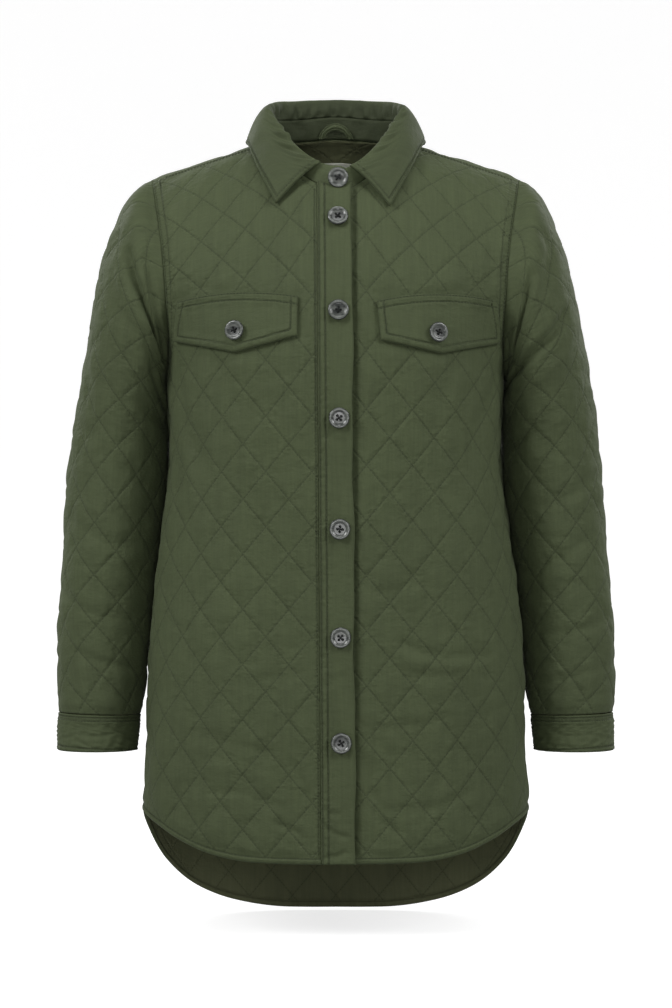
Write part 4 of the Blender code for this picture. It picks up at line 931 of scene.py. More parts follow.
class Finishes:
    """The jacket's materials, made once from the colours and depths in the panel."""

    def __init__(self, settings):
        self.settings = settings
        self.weave, self.mottle, self.quilting = weave_group(), mottle_group(), quilting_group()
        self.shell = self.cloth("quilted shell cloth", settings.cloth_color, True)
        self.lining = self.cloth("quilted inside cloth", settings.inside_color, True, sheen=0.03)
        self.plain = self.cloth("plain shell cloth", settings.cloth_color)
        self.inner = self.cloth("plain inside cloth", settings.inside_color, sheen=0.03)
        self.label = self.cloth("label tape", settings.label_color, mottle=0.12, pitch=0.0008)
        self.thread = self.twist("sewing thread", settings.thread_color)
        self.dark_thread = self.twist("button thread", settings.button_thread_color)
        self.horn = self.horn_finish()

    def cloth(self, name, color, quilted=False, mottle=0.5, pitch=0.0006, sheen=0.06):
        """Woven cloth on its own cloth points; quilted cloth adds dashed thread and fine puckers.
        Painted shade darkens the colour along topstitching and quilting lines, and by the second value
        of the sewn map.
        """
        material, w, shader = start_material(name, 0.78)
        place = w.node("ShaderNodeUVMap", uv_map="cloth").outputs[0]
        weave = w.group(self.weave, Vector=place, Pitch=pitch)
        tone = w.group(self.mottle, Color=scaled(color), Vector=place, Amount=mottle)["Color"]
        streak = w.ramp(w.noise(w.stretch(place, (420, 22, 1)), 1.0, 2.0), 0.3, 0.75, 0.0, 0.22)
        away, painted_shade = w.split(w.node("ShaderNodeUVMap", uv_map="sewn").outputs[0])[:2]
        groove = w.ramp(away, 0.0, 0.0017, 1.0, 0.0)
        ripple = w.noise(w.stretch(place, (230, 230, 1)), 1.0, 1.0)
        crinkle = w.noise(w.stretch(place, (70, 110, 1)), 1.0, 3.0, 0.6)
        heights = [(weave["Height"], 0.05), (weave["Slubs"], 0.35), (crinkle, 2.6), (groove, -1.6),
                   (w.times(w.ramp(away, 0.001, 0.008, 1.0, 0.0), ripple), 2.6)]
        # painted shade: the topstitching groove and the sewn map's second value darken the colour; the
        # streaks are the cloth's own tone
        tones = [(streak, 1.0, 0.55), (painted_shade, 0.62, 0.25), (groove, 0.42, 0.25)]
        if quilted:
            sewn = w.group(self.quilting, Vector=place)
            heights += [(w.times(ripple, sewn["Pucker"]), 2.6), (sewn["Line"], -0.7),
                        (sewn["Thread"], 0.5)]
            # painted shade darkens the quilting lines; the thread dashes keep the thread's own dark
            # colour
            tones += [(sewn["Line"], 0.16, 0.3), (sewn["Thread"], 0.42, 0.35)]
        for mask, amount, share in tones:
            tone = w.mix(w.times(mask, amount), tone, scaled(color, share))
        height = 0.0
        for value, amount in heights:
            height = w.plus(w.times(value, amount), height)
        bump = w.node("ShaderNodeBump")
        tune(bump, Strength=0.75, Distance=0.0006)
        w.join(height, bump.inputs["Height"])
        w.join(bump.outputs[0], shader.inputs["Normal"])
        w.join(tone, shader.inputs["Base Color"])
        w.join(w.ramp(weave["Slubs"], 0.3, 0.7, 0.74, 0.84), shader.inputs["Roughness"])
        tune(shader, Sheen_Weight=sheen, Sheen_Roughness=0.45, Sheen_Tint=(0.62, 0.72, 0.50, 1),
             Specular_IOR_Level=0.25)
        return material

    def twist(self, name, color):
        """Sewing thread: fine slanting bands of its two twisted yarns."""
        material, w, shader = start_material(name, 0.6)
        place = w.node("ShaderNodeTexCoord").outputs["Object"]
        bands = w.node("ShaderNodeTexWave", wave_type="BANDS", bands_direction="DIAGONAL")
        w.join(place, bands.inputs["Vector"])
        tone = w.mix(bands.outputs["Fac"], scaled(color, 0.7), scaled(color))
        w.join(tone, shader.inputs["Base Color"])
        tune(bands, Scale=900.0)
        tune(shader, Specular_IOR_Level=0.2)
        return material

    def horn_finish(self):
        """Polished smoky horn: cloudy grey streaks in a near-black body, by distance from the middle
        darker round the holes, with a painted highlight on the rim and painted shade at its edge."""
        material, w, shader = start_material("smoky horn", 0.24)
        place = w.node("ShaderNodeTexCoord").outputs["Object"]
        reach = w.node("ShaderNodeVectorMath", operation="LENGTH")
        w.join(w.node("ShaderNodeUVMap", uv_map="cloth").outputs[0], reach.inputs[0])
        reach = reach.outputs["Value"]
        cloud = w.noise(w.stretch(place, (90, 90, 330)), 1.0, 3.0, 0.5)
        grain = w.noise(w.stretch(place, (1100, 1100, 400)), 1.0, 2.0)
        dark, pale = scaled(self.settings.horn_dark), scaled(self.settings.horn_pale)
        tone = w.mix(w.ramp(cloud, 0.36, 0.66, 0.1, 0.9), dark, pale)
        # the grain is the horn's own; the last ramp is painted shade at the button's outer edge
        for value, *limits in ((grain, 0.55, 0.8, 0.0, 0.2), (reach, 0.0024, 0.0040, 0.5, 0.0),
                               (reach, 0.0090, 0.0097, 0.0, 0.8)):
            tone = w.mix(w.ramp(value, *limits), tone, dark)
        # painted highlight: the rim is mixed towards a colour brighter than the palest horn
        painted_rim_highlight = w.times(w.ramp(reach, 0.0066, 0.0078), w.ramp(reach, 0.0088, 0.0097, 1.0, 0.0))
        w.join(w.mix(w.times(painted_rim_highlight, 0.35), tone, scaled(pale[:3], 2.2)), shader.inputs["Base Color"])
        w.join(w.ramp(cloud, 0.3, 0.7, 0.2, 0.34), shader.inputs["Roughness"])
        tune(shader, Coat_Weight=0.18, Coat_Roughness=0.15)
        return material


FINISHES = []


def cloth_settings():
    return bpy.context.scene.jacket_cloth


def finishes():
    """The materials, made at the first call."""
    if not FINISHES:
        FINISHES.append(Finishes(cloth_settings()))
    return FINISHES[0]


def plain_pair():
    """Materials of a plain piece that shows the shell cloth on both skins."""
    return [finishes().plain] * 2


# ---- topstitching ----
STITCH_ROWS = []


def stitch_row(points, normals, length=2.5 * MM, pitch=3.3 * MM):
    """Keeps a row of stitches to be sewn along a line of skin points, with the skin's normals."""
    along = lengths_along(points)
    starts = np.arange(0.4 * MM, along[-1] - length, pitch)
    rows = np.stack([read_line(points, along, starts + length * share) for share in (0, 0.5, 1)],
                    axis=1)
    STITCH_ROWS.append((rows, unit(read_line(normals, along, starts + length / 2))))


def sew_stitches(name):
    """One mesh of all kept stitches: each a four-sided spindle, 0.3 mm thick, sunk at both ends."""
    rows = np.concatenate([row for row, _ in STITCH_ROWS])
    normal = np.concatenate([normal for _, normal in STITCH_ROWS])
    STITCH_ROWS.clear()
    side = unit(np.cross(rows[:, 2] - rows[:, 0], normal))
    thick = np.array([0.16, 0.36, 0.16]) * MM
    rise = np.array([-0.14, 0.20, -0.14]) * MM
    points = []
    for k in range(3):
        middle = rows[:, k] + normal * rise[k]
        for across, up in ((1, 0), (0, 1), (-1, 0), (0, -1)):
            points.append(middle + side * across * thick[k] + normal * up * thick[k] * 0.8)
    points = np.stack(points, axis=1)
    faces = [(k * 4 + j, (k + 1) * 4 + j, (k + 1) * 4 + (j + 1) % 4, k * 4 + (j + 1) % 4)
             for k in range(2) for j in range(4)] + [(0, 1, 2, 3), (11, 10, 9, 8)]
    faces = (np.array(faces)[None] + 12 * np.arange(len(points))[:, None, None]).reshape(-1, 4)
    attach(add_mesh(name, points.reshape(-1, 3), faces.tolist(), None, [0] * len(faces),
                    [finishes().thread]))


# ---- skins: the outer surface of each piece at cloth points ----
def drape(cloth, seed):
    """Gentle unevenness of worn cloth: long soft waves, short ones, and creases along the lines
    where a third sum of waves is 0."""
    long, short = crumple(cloth, seed, 60, 160, 2.4), crumple(cloth, seed + 1, 14, 40, 1.3)
    creases = 0.8 - np.abs(crumple(cloth, seed + 2, 30, 70, 0.9))
    return (0.55 * long + 0.24 * (0.7 * short + 0.5 * creases)) * cloth_settings().drape * MM


def quilted_relief(cloth, ruled, seed, edge, press):
    """Quilting with puckers at its lines; it starts to rise this many mm (press) from the edge."""
    rise = pillows(cloth, ruled) + 0.2 * puckers(cloth, ruled, seed)
    return rise * cloth_settings().puff * MM * ease((edge - press * MM) / SEAM_PRESS)


def front_relief(cloth, side, edge):
    """Height of a front's skin over the form: quilting, folds and drape, pressed flat under flap
    and placket, and on the left one a trough beside the placket's free edge."""
    across = cloth[..., 0]
    flap = polygon_distance(cloth, flap_outline(side)) / FLAP_SHADE
    quilted = (quilted_relief(cloth, FRONT_RULED[side], 13 + side, edge, 1) * ease(flap + 0.02)
               * shoulder_fade(cloth))
    hang = ((drape(cloth, 14 + 3 * side) - troughs(cloth, FRONT_FOLDS[side])) * fade(edge, -3, 24)
            * ease(flap + 0.15))
    if side < 0:
        return quilted + hang
    return (quilted * fade(across, 17, 12) + hang * fade(across, 10, 20)
            - 3.0 * MM * bell(across, 16, 3.6) * fade(edge, 0, 6))


def shoulder_fade(cloth):
    """The quilting is pulled flatter over the shoulders, over 90 mm below the ridge."""
    return 0.45 + 0.55 * fade(cloth[..., 1], 0, 90)


def flap_outline(side):
    """Outline of a flap in cloth points: bowed top seam, straight ends, a blunt point below."""
    corners = np.array([cloth_of(FRONT, side * x * MM, z * MM) for x, z in FLAPS[side]])
    u = np.arange(16)[:, None] / 16
    top = corners[0] + (corners[1] - corners[0]) * u - np.array([0, 1]) * FLAP_CROWN * 4 * u * (1 - u)
    return np.concatenate([top, corners[1:]])


def quilted_wall(node, cloth, points, normals, relief, ruled, over=0.0, rows=()):
    """A quilted piece: the skin follows the relief, the inside is quilted more shallowly."""
    outer = points + normals * (over + relief)[..., None]
    edge = edge_distance(cloth)
    sink = (WALL + 0.9 * MM * pillows(cloth, ruled) * ease(edge / SEAM_PRESS)
            + 0.6 * MM * crumple(cloth, 97, 7, 16) * fade(edge, 0, 3) * bell(edge, 0, 16))
    inner = points + normals * (over + np.minimum(relief, 0) - sink)[..., None]
    piece = wall_mesh(f"{node}_cloth", outer, inner, cloth, [finishes().shell, finishes().lining],
                      ruled, line_distance(cloth, rows))
    declare(piece, cloth, node)


def sew_on_body(face, lines, over=lambda across: 0.0 * across):
    """Rows of stitches along cloth points, 0.15 mm over a body panel raised by over(across)."""
    for line in lines:
        points, normals = on_body(face, line[:, 0], line[:, 1])
        stitch_row(points + normals * (over(line[:, 0]) + 0.15 * MM)[:, None], normals)


def body_rows(face, down, side, skip, stop):
    """Rows of topstitching beside a body panel's armhole, and below its shoulder seam up to stop."""
    armhole = armhole_line(face, down)
    rows = [trimmed(armhole, gap * MM)[skip:-1] * (side, 1) for gap in ARMHOLE_SEWN]
    across = np.linspace(NECK_HALF + 3 * MM, stop, 40)
    seam = np.stack([across, np.full(40, down + SHOULDER_SEWN * MM)], axis=1)
    return [*rows, seam * (side, 1)]


def make_front(side):
    """A front: between its neck, shoulder, armhole, side, hem and middle edges."""
    word = WORDS[side]
    grid = front_grid(lambda down: SEAM_GAP - placket_edge(-1, down) if side < 0 else -UNDERLAP)
    edge = edge_distance(grid)
    cloth = grid * (side, 1)
    if side < 0:
        cloth, edge = cloth[:, ::-1], edge[:, ::-1]
    points, normals = on_body(FRONT, cloth[..., 0], cloth[..., 1])
    down = SHOULDER_SEAM + SEAM_GAP / 2
    rows = body_rows(FRONT, down, side, 2, FACES[FRONT].width(down) - 4 * MM)
    if side < 0:
        top, foot = neck_down(18 * MM) + 6 * MM, hem_down(FRONT, np.array(18 * MM), HEM_BAND) - 2 * MM
        downs = np.linspace(top, foot, 120)
        rows.append(np.stack([placket_edge(-1, downs) - FRONT_SEWN * MM, downs], axis=1))
    quilted_wall(f"front_{word}", cloth, points, normals, front_relief(cloth, side, edge),
                 FRONT_RULED[side], raised_by(side, cloth[..., 0]), rows)
    sew_on_body(FRONT, rows, lambda across: raised_by(side, across))


def make_back():
    """The back, over the ridge of the shoulders to the shoulder seams."""
    cloth = back_grid()
    edge = edge_distance(cloth)
    points, normals = on_body(BACK, cloth[..., 0], cloth[..., 1])
    relief = (quilted_relief(cloth, BACK_RULED, 25, edge, 1) * shoulder_fade(cloth)
              + (drape(cloth, 23) - troughs(cloth, BACK_FOLDS)) * fade(edge, -3, 24))
    down = -SHOULDER_SEAM + SEAM_GAP / 2
    rows = [row for side in (-1, 1) for row in body_rows(BACK, down, side, 4, 178 * MM)]
    quilted_wall("back", cloth, points, normals, relief, BACK_RULED, rows=rows)
    sew_on_body(BACK, rows)


# ---- sleeves and cuffs ----
def armhole_ring(turns):
    """Armhole on the +X side at turns from -1, underarm behind, through 0, the top, to 1 in front.

    Gives its points, the body's normals there and the directions off the cut edge.
    """
    parts = {}
    for face in (BACK, FRONT):
        line = armhole_line(face, 0.0, 240)
        place, normal = on_body(face, line[:, 0], line[:, 1])
        outward = unit(np.cross(np.gradient(place, axis=0), normal) * face)
        outward[-1] = (0, 0, 1)
        place = place + outward * SEAM_GAP / 2
        along = lengths_along(place)
        parts[face] = [read_line(values, along, np.abs(turns) * along[-1])
                       for values in (place, normal, outward)]
    front = (turns > 0)[:, None]
    return [np.where(front, f, b) for f, b in zip(parts[FRONT], parts[BACK])]


def sleeve_ring(row, turns):
    """A leaning oval through the overarm and underarm points: middle + half * cos, depth * sin."""
    outer_x, outer_z, inner_x, inner_z, front, back, middle_y = np.array(row) * MM
    swing = np.cos(math.pi * turns)
    depth = np.where(turns > 0, -front, -back) * np.sin(math.pi * turns)
    return np.stack([(outer_x + inner_x) / 2 + (outer_x - inner_x) / 2 * swing, middle_y + depth,
                     (outer_z + inner_z) / 2 + (outer_z - inner_z) / 2 * swing], axis=1)


def through_rings(rings, count):
    """A cubic along each line of the tube through its rings, at equal steps of their mean distance."""
    spread = np.insert(np.linalg.norm(np.diff(rings, axis=0), axis=2).mean(axis=1).cumsum(), 0, 0.0)
    return smooth_curve(spread, rings)(np.linspace(0, spread[-1], count))


def tube_cloth(points, middle):
    """Cloth points of a tube's grid, as if it were slit and rolled out flat.

    Down is the overarm line's length to its foot, plus the way along the tube from that
    line to the point. Across is the length round the tube, square to its direction.
    """
    middles = points.mean(axis=1)
    along = unit(np.gradient(middles, axis=0))[:, None]
    fall = lengths_along(points[:, middle])
    down = (fall - fall[-1])[:, None] + ((points - points[:, middle:middle + 1]) * along).sum(axis=2)
    step = np.diff(points, axis=1)
    step = step - (step * along).sum(axis=2, keepdims=True) * along
    across = np.insert(np.linalg.norm(step, axis=2).cumsum(axis=1), 0, 0.0, axis=1)
    return np.stack([across - across[:, middle:middle + 1], down], axis=2)


def make_sleeve(side):
    """A sleeve from the armhole to just above the cuff, open along its underarm seam by the gap."""
    word = WORDS[side]
    end = 1 - SEAM_GAP / 0.4           # stops short of the underarm line, to leave the seam's gap
    columns, rows = [odd(size, CELL) for size in SLEEVE_SIZE]
    turns = np.linspace(-end, end, columns)
    start, body_normals, outward = armhole_ring(turns)
    rings = np.array([start] + [sleeve_ring(row, turns) for row in SLEEVE_RINGS])
    points = through_rings(rings, rows)
    normals = grid_normals(points, 0, (slice(None), columns // 2))
    valley = ((normals[0] * outward).sum(axis=1) < 0)[:, None]
    normals[0] = unit(body_normals + normals[0] * valley)
    cloth = tube_cloth(points, columns // 2)
    below = lengths_along(points)
    edge = edge_distance(cloth)
    relief = (quilted_relief(cloth, SLEEVE_RULED, 35 + side, edge, 0.5)
              + (drape(cloth, 34 + 3 * side) - troughs(cloth, SLEEVE_FOLDS[side])) * fade(edge, -2, 22)
              + 0.6 * MM * ease(1.1 - np.abs(turns) * 2.2) * bell(below, 7, 5))
    mirror = (side, 1, 1)
    quilted_wall(f"sleeve_{word}", cloth, points * mirror, normals * mirror, relief, SLEEVE_RULED)


def make_cuff(side):
    """A plain closed band below the sleeve, topstitched along both edges and creased across."""
    word = WORDS[side]
    turns = np.linspace(-1, 1, CUFF_COLUMNS, endpoint=False)
    middle = CUFF_COLUMNS // 2
    rings = np.array([sleeve_ring(row, turns) for row in CUFF_RINGS])
    points = through_rings(rings, CUFF_ROWS)
    closed = np.concatenate([points[:, -1:], points, points[:, :1]], axis=1)
    normals = grid_normals(closed, 0, (slice(None), middle + 1))[:, 1:-1]
    cloth = tube_cloth(points, middle)
    above, below = cloth[..., 1] - cloth[:1, :, 1], -cloth[..., 1]
    creases = crumple(cloth, 41 + side, 9, 16, 0.35, 14) * fade(above, 0, 9) * fade(below, 0, 5)
    waves = 0.45 * creases - 0.3 * bell(above, CUFF_TOP_SEWN[1], 0.9)
    relief = (sewn_edge(above, CUFF_TOP_SEWN[0]) + sewn_edge(below, CUFF_FOOT_SEWN, groove=0.5)
              + waves * MM - troughs(cloth, CUFF_FOLDS))
    mirror = np.array((side, 1, 1))
    outer = (points + normals * relief[..., None]) * mirror
    inner = (points - normals * PLAIN_WALL) * mirror
    sewn = [(above, gap * MM) for gap in CUFF_TOP_SEWN] + [(below, CUFF_FOOT_SEWN * MM)]
    away = np.minimum.reduce([np.abs(level - gap) for level, gap in sewn])
    piece = ring_mesh(f"cuff_{word}_cloth", outer, inner, cloth,
                      [finishes().plain, finishes().inner], away)
    declare(piece, cloth, f"cuff_{word}")
    for level, gap in sewn:
        row = int(np.argmin(np.abs(level[:, 0] - gap)))
        loop = np.concatenate([outer[row], outer[row, :1]])
        facing = np.concatenate([normals[row], normals[row, :1]]) * mirror
        stitch_row(loop, facing)


# ---- placket, flaps, hems ----
def clustered(length, marks, cell):
    """Rising distances from 0 to length, evenly and closer round each mark, in mm; an odd number."""
    steps = np.linspace(0, length, max(3, round(length / cell)))
    near = np.concatenate([(np.array(marks) + shift) * MM for shift in (-1.6, -0.8, 0, 0.8, 1.6)])
    near = near[(near > 0.2 * MM) & (near < length - 0.2 * MM)]
    steps = np.unique(np.round(np.concatenate([steps, near]), 6))
    keep = np.concatenate([[True], np.diff(steps) > 0.25 * MM])
    keep[-1] = True
    steps = steps[keep]
    return steps if len(steps) % 2 else np.insert(steps, 1, steps[1] / 2)


def placket_skin(cloth):
    """Points and normals of the placket's skin, turned and topstitched at its sewn edge."""
    points, normals = on_body(FRONT, cloth[..., 0], cloth[..., 1])
    sewn = cloth[..., 0] - placket_edge(-1, cloth[..., 1])
    free = placket_edge(1, cloth[..., 1]) - cloth[..., 0]
    waves = 0.45 * MM * crumple(cloth, 53, 26, 80, 1.6) - troughs(cloth, PLACKET_FOLDS)
    relief = (sewn_edge(sewn, PLACKET_SEWN[0]) + turned_edge(free)
              + (0.9 * bell(free, 2.5, 3) - 0.35 * bell(sewn, PLACKET_SEWN[1], 0.9)) * MM
              + waves * fade(free, 0, 4) * fade(sewn, 0, 4)
              + 0.28 * MM * crumple(cloth, 57, 8, 16, 0.6, 30) * bell(sewn, 4.6, 5))
    return points + normals * (PLACKET_PROUD + lift(cloth[..., 0]) + relief)[..., None], normals


def make_placket():
    """The band down the right front's free edge."""
    offsets = clustered(2 * PLACKET_HALF, PLACKET_SEWN, 1.6 * MM)
    top, foot = float(neck_down(0)) - 3 * MM, float(hem_down(FRONT, np.array(0.0), 0))
    downs = np.linspace(top, foot, odd(0.66, 2.0 * MM))
    cloth = np.stack([placket_edge(-1, downs)[:, None] + offsets[None, :],
                      np.repeat(downs[:, None], len(offsets), axis=1)], axis=2)
    climb = neck_down(cloth[..., 0]) - neck_down(0)
    cloth[..., 1] += climb * (1 - fade(downs - top, 0, 30))[:, None]
    wave = 0.8 * MM * np.sin(downs / (31 * MM)) + 0.5 * MM * np.sin(downs / (13 * MM) + 1)
    cloth[..., 0] += wave[:, None] * fade(offsets, 20, 12)
    outer, normals = placket_skin(cloth)
    inner = outer - normals * PLAIN_WALL
    away = np.minimum(*[np.abs(offsets - gap * MM) for gap in PLACKET_SEWN])
    piece = wall_mesh("placket_cloth", outer, inner, cloth, plain_pair(),
                      sewn=np.broadcast_to(away, cloth.shape[:2]))
    declare(piece, cloth, "placket")
    for gap in PLACKET_SEWN:
        line = np.stack([placket_edge(-1, downs) + gap * MM, downs], axis=1)[4:-2]
        stitch_row(*placket_skin(line))


def flap_skin(cloth, side, outline):
    """Points and normals of a flap's skin, swollen to its topstitching and a little uneven."""
    points, normals = on_body(FRONT, cloth[..., 0], cloth[..., 1])
    edge = -polygon_distance(cloth, outline)
    relief = (sewn_edge(np.maximum(edge, 0), FLAP_SEWN, 0.3, 0.5)
              + 0.22 * MM * crumple(cloth, 61 + side, 26, 60) * fade(edge, 0, 8))
    return points + normals * (FLAP_PROUD + raised_by(side, cloth[..., 0]) + relief)[..., None], normals


def inset_border(border, inset):
    """A line of cloth points inside an open border: each corner moves in along the line that
    halves it, by inset / sin(half the corner). The ends start 1 mm down the sides."""
    shifted = []
    for before, corner, after in zip(border, border[1:], border[2:]):
        before, after = unit(corner - before), unit(after - corner)
        inward = unit(after - before)
        if np.dot(inward, border.mean(axis=0) - corner) < 0:
            inward = -inward
        half_sine = abs(before[0] * inward[1] - before[1] * inward[0])
        shifted.append(corner + inward * inset / max(half_sine, 0.3))
    ends = [end + unit(corner - end) * 1 * MM + (moved - corner) * (1, 0) for end, corner, moved
            in ((border[0], border[1], shifted[0]), (border[-1], border[-2], shifted[-1]))]
    return resample([ends[0], *shifted, ends[1]], 120)


def make_flap(side):
    """A pocket flap between its bowed top seam and its pointed lower edge."""
    word = WORDS[side]
    outline = flap_outline(side)
    corners = outline[[0, 16, 17, 18, 19]]
    columns, rows = [odd(size, FLAP_CELL) for size in FLAP_SIZE]
    top = resample(outline[:17], columns)
    bottom = resample(corners[[4, 3, 2]], columns)
    cloth = between_edges(top, bottom, resample([corners[0], corners[4]], rows),
                          resample([corners[1], corners[2]], rows))
    if side < 0:
        cloth = cloth[:, ::-1]
    outer, normals = flap_skin(cloth, side, outline)
    points, _ = on_body(FRONT, cloth[..., 0], cloth[..., 1])
    inner = points + normals * (raised_by(side, cloth[..., 0]) + FLAP_PROUD - PLAIN_WALL)[..., None]
    lines = [resample(outline[:17], 60) + (0, gap * MM) for gap in FLAP_TOP_SEWN]
    lines.append(inset_border(corners[[0, 4, 3, 2, 1]], FLAP_SEWN * MM))
    piece = wall_mesh(f"flap_{word}_cloth", outer, inner, cloth, plain_pair(),
                      sewn=line_distance(cloth, lines))
    declare(piece, cloth, f"flap_{word}")
    for line in lines:
        stitch_row(*flap_skin(line[1:-1], side, outline))


def make_hem(node, face, start, stop, over):
    """A plain band along a hem, with its topstitching just under its upper edge."""
    offsets = clustered(HEM_BAND, (HEM_SEWN,), 0.9 * MM)
    across = np.linspace(start, stop, odd(abs(stop - start), 3 * MM))
    cloth = np.stack([np.stack([across, hem_down(face, across, HEM_BAND - offset)], axis=1)
                      for offset in offsets])
    points, normals = on_body(face, cloth[..., 0], cloth[..., 1])
    points = points + normals * (HEM_PROUD + (lift(cloth[..., 0]) if over else 0 * across))[..., None]
    band = np.repeat(offsets[:, None], len(across), axis=1)
    relief = (sewn_edge(band, HEM_SEWN, 0.0, 0.6) + turned_edge(HEM_BAND - band)
              + 0.4 * MM * np.sin(np.pi * band / HEM_BAND))
    outer = points + normals * relief[..., None]
    piece = wall_mesh(f"{node}_cloth", outer, points - normals * HEM_WALL, cloth,
                      [finishes().plain, finishes().inner], sewn=np.abs(band - HEM_SEWN * MM))
    declare(piece, cloth, node, folded=2.0)
    row = int(np.argmin(np.abs(offsets - HEM_SEWN * MM)))
    stitch_row(outer[row], normals[row])


# ---- collar ----
def neck_point(turn):
    """Point of the neck line and the level direction away from the neck's axis."""
    face, across, down = neck_cloth(turn)
    point, _ = on_body(face, across, down)
    away = unit(point - (0, NECK_AXIS_Y, point[2]))
    return point, away


def lap(turn):
    """How far the right front, on negative turns, is lifted over the left, from 0 to 1."""
    face, across, _ = neck_cloth(turn)
    return float(lift(across)) / PLACKET_LIFT if turn < 0 and face == FRONT else 0.0


def turn_at(across):
    """Turn at which the front of the neck line passes this distance from the middle."""
    return NECK_BACK_TURN + math.acos(across / NECK_HALF) / (math.pi / 2) * (1 - NECK_BACK_TURN)


def stand_foot(turn):
    """Outer foot of the stand, and the level direction away from the neck."""
    point, away = neck_point(turn)
    return (point + away * (STAND_LAP_OUT * lap(turn) - STAND_IN)
            + np.array([0, 0, STAND_LAP_UP * lap(turn)])), away


def grid_cloth(points):
    """Cloth points of a grid, from the lengths of its own lines."""
    across = lengths_along(points, 1)
    return np.stack([across - across[:, -1:] / 2, lengths_along(points)], axis=2)


def make_stand():
    """The collar's band; its right end is rounded and laps over the left."""
    end = turn_at(-STAND_END)
    turns = np.unique(np.concatenate([np.linspace(-end, -0.9, 24), np.linspace(-0.9, 0.9, 140),
                                      np.linspace(0.9, end, 19)]))
    turns = turns if len(turns) % 2 else np.insert(turns, 1, (turns[0] + turns[1]) / 2)
    feet, aways = (np.array(part) for part in zip(*[stand_foot(turn) for turn in turns]))
    cut = np.clip(1 - (turns + end) * NECK_HALF * 2 / STAND_END_ROUND, 0, 1)
    tall = STAND_TALL * (1 - 0.45 * (1 - np.sqrt(1 - cut ** 2)))
    share = np.linspace(0, 1, 17)[::-1, None, None]
    outer = feet - aways * STAND_LEAN * share + np.array([0, 0, 1]) * (tall[None, :, None] * share)
    cloth = grid_cloth(outer)
    edge = edge_distance(cloth)
    waves = 1.3 * MM * crumple(cloth, 71, 7, 24, 2.6) * fade(edge, 0, 4)
    relief = sewn_edge(edge, STAND_SEWN, 0.2, 0.25)
    inner = outer - aways * (PLAIN_WALL - waves)[..., None]
    outer = outer + aways * (relief + 0.2 * waves)[..., None]
    # painted shade: the stand's colour is darkened all along its middle, away from its front ends
    painted_shade = ease((0.86 - np.abs(turns)) / 0.1) + np.zeros(edge.shape)
    piece = wall_mesh("collar_stand_cloth", outer, inner, cloth, plain_pair(),
                      sewn=np.stack([np.full_like(painted_shade, 0.1), painted_shade], axis=2))
    declare(piece, cloth, "collar_stand")
    row = int(np.argmin(np.abs(cloth[:, len(turns) // 2, 1] - STAND_TALL + STAND_SEWN * MM)))
    for part in (slice(2, 22), slice(-18, -2)):
        stitch_row(outer[row, part], aways[part])


def leaf_edge(turn, end, tips):
    """Middle of the leaf's outer edge, a little above the body."""
    size, side = abs(turn), -1 if turn < 0 else 1
    if size <= NECK_BACK_TURN:
        angle = size / NECK_BACK_TURN * math.pi / 2
        face, across, down = BACK, LEAF_SIDE * math.sin(angle), LEAF_BACK * math.cos(angle)
    else:
        share = (size - NECK_BACK_TURN) / (end - NECK_BACK_TURN)
        tip = tips[side]
        across = LEAF_SIDE + (tip[0] - LEAF_SIDE) * share + LEAF_BOW * math.sin(math.pi * share)
        face, down = FRONT, tip[1] * share
    point, normal = on_body(face, side * across, down)
    off = LEAF_OFF + (float(lift(across)) if side < 0 and face == FRONT else 0.0)
    return point + unit(normal) * (off - LEAF_HUG * math.exp(-((size - NECK_BACK_TURN) / 0.12) ** 2))


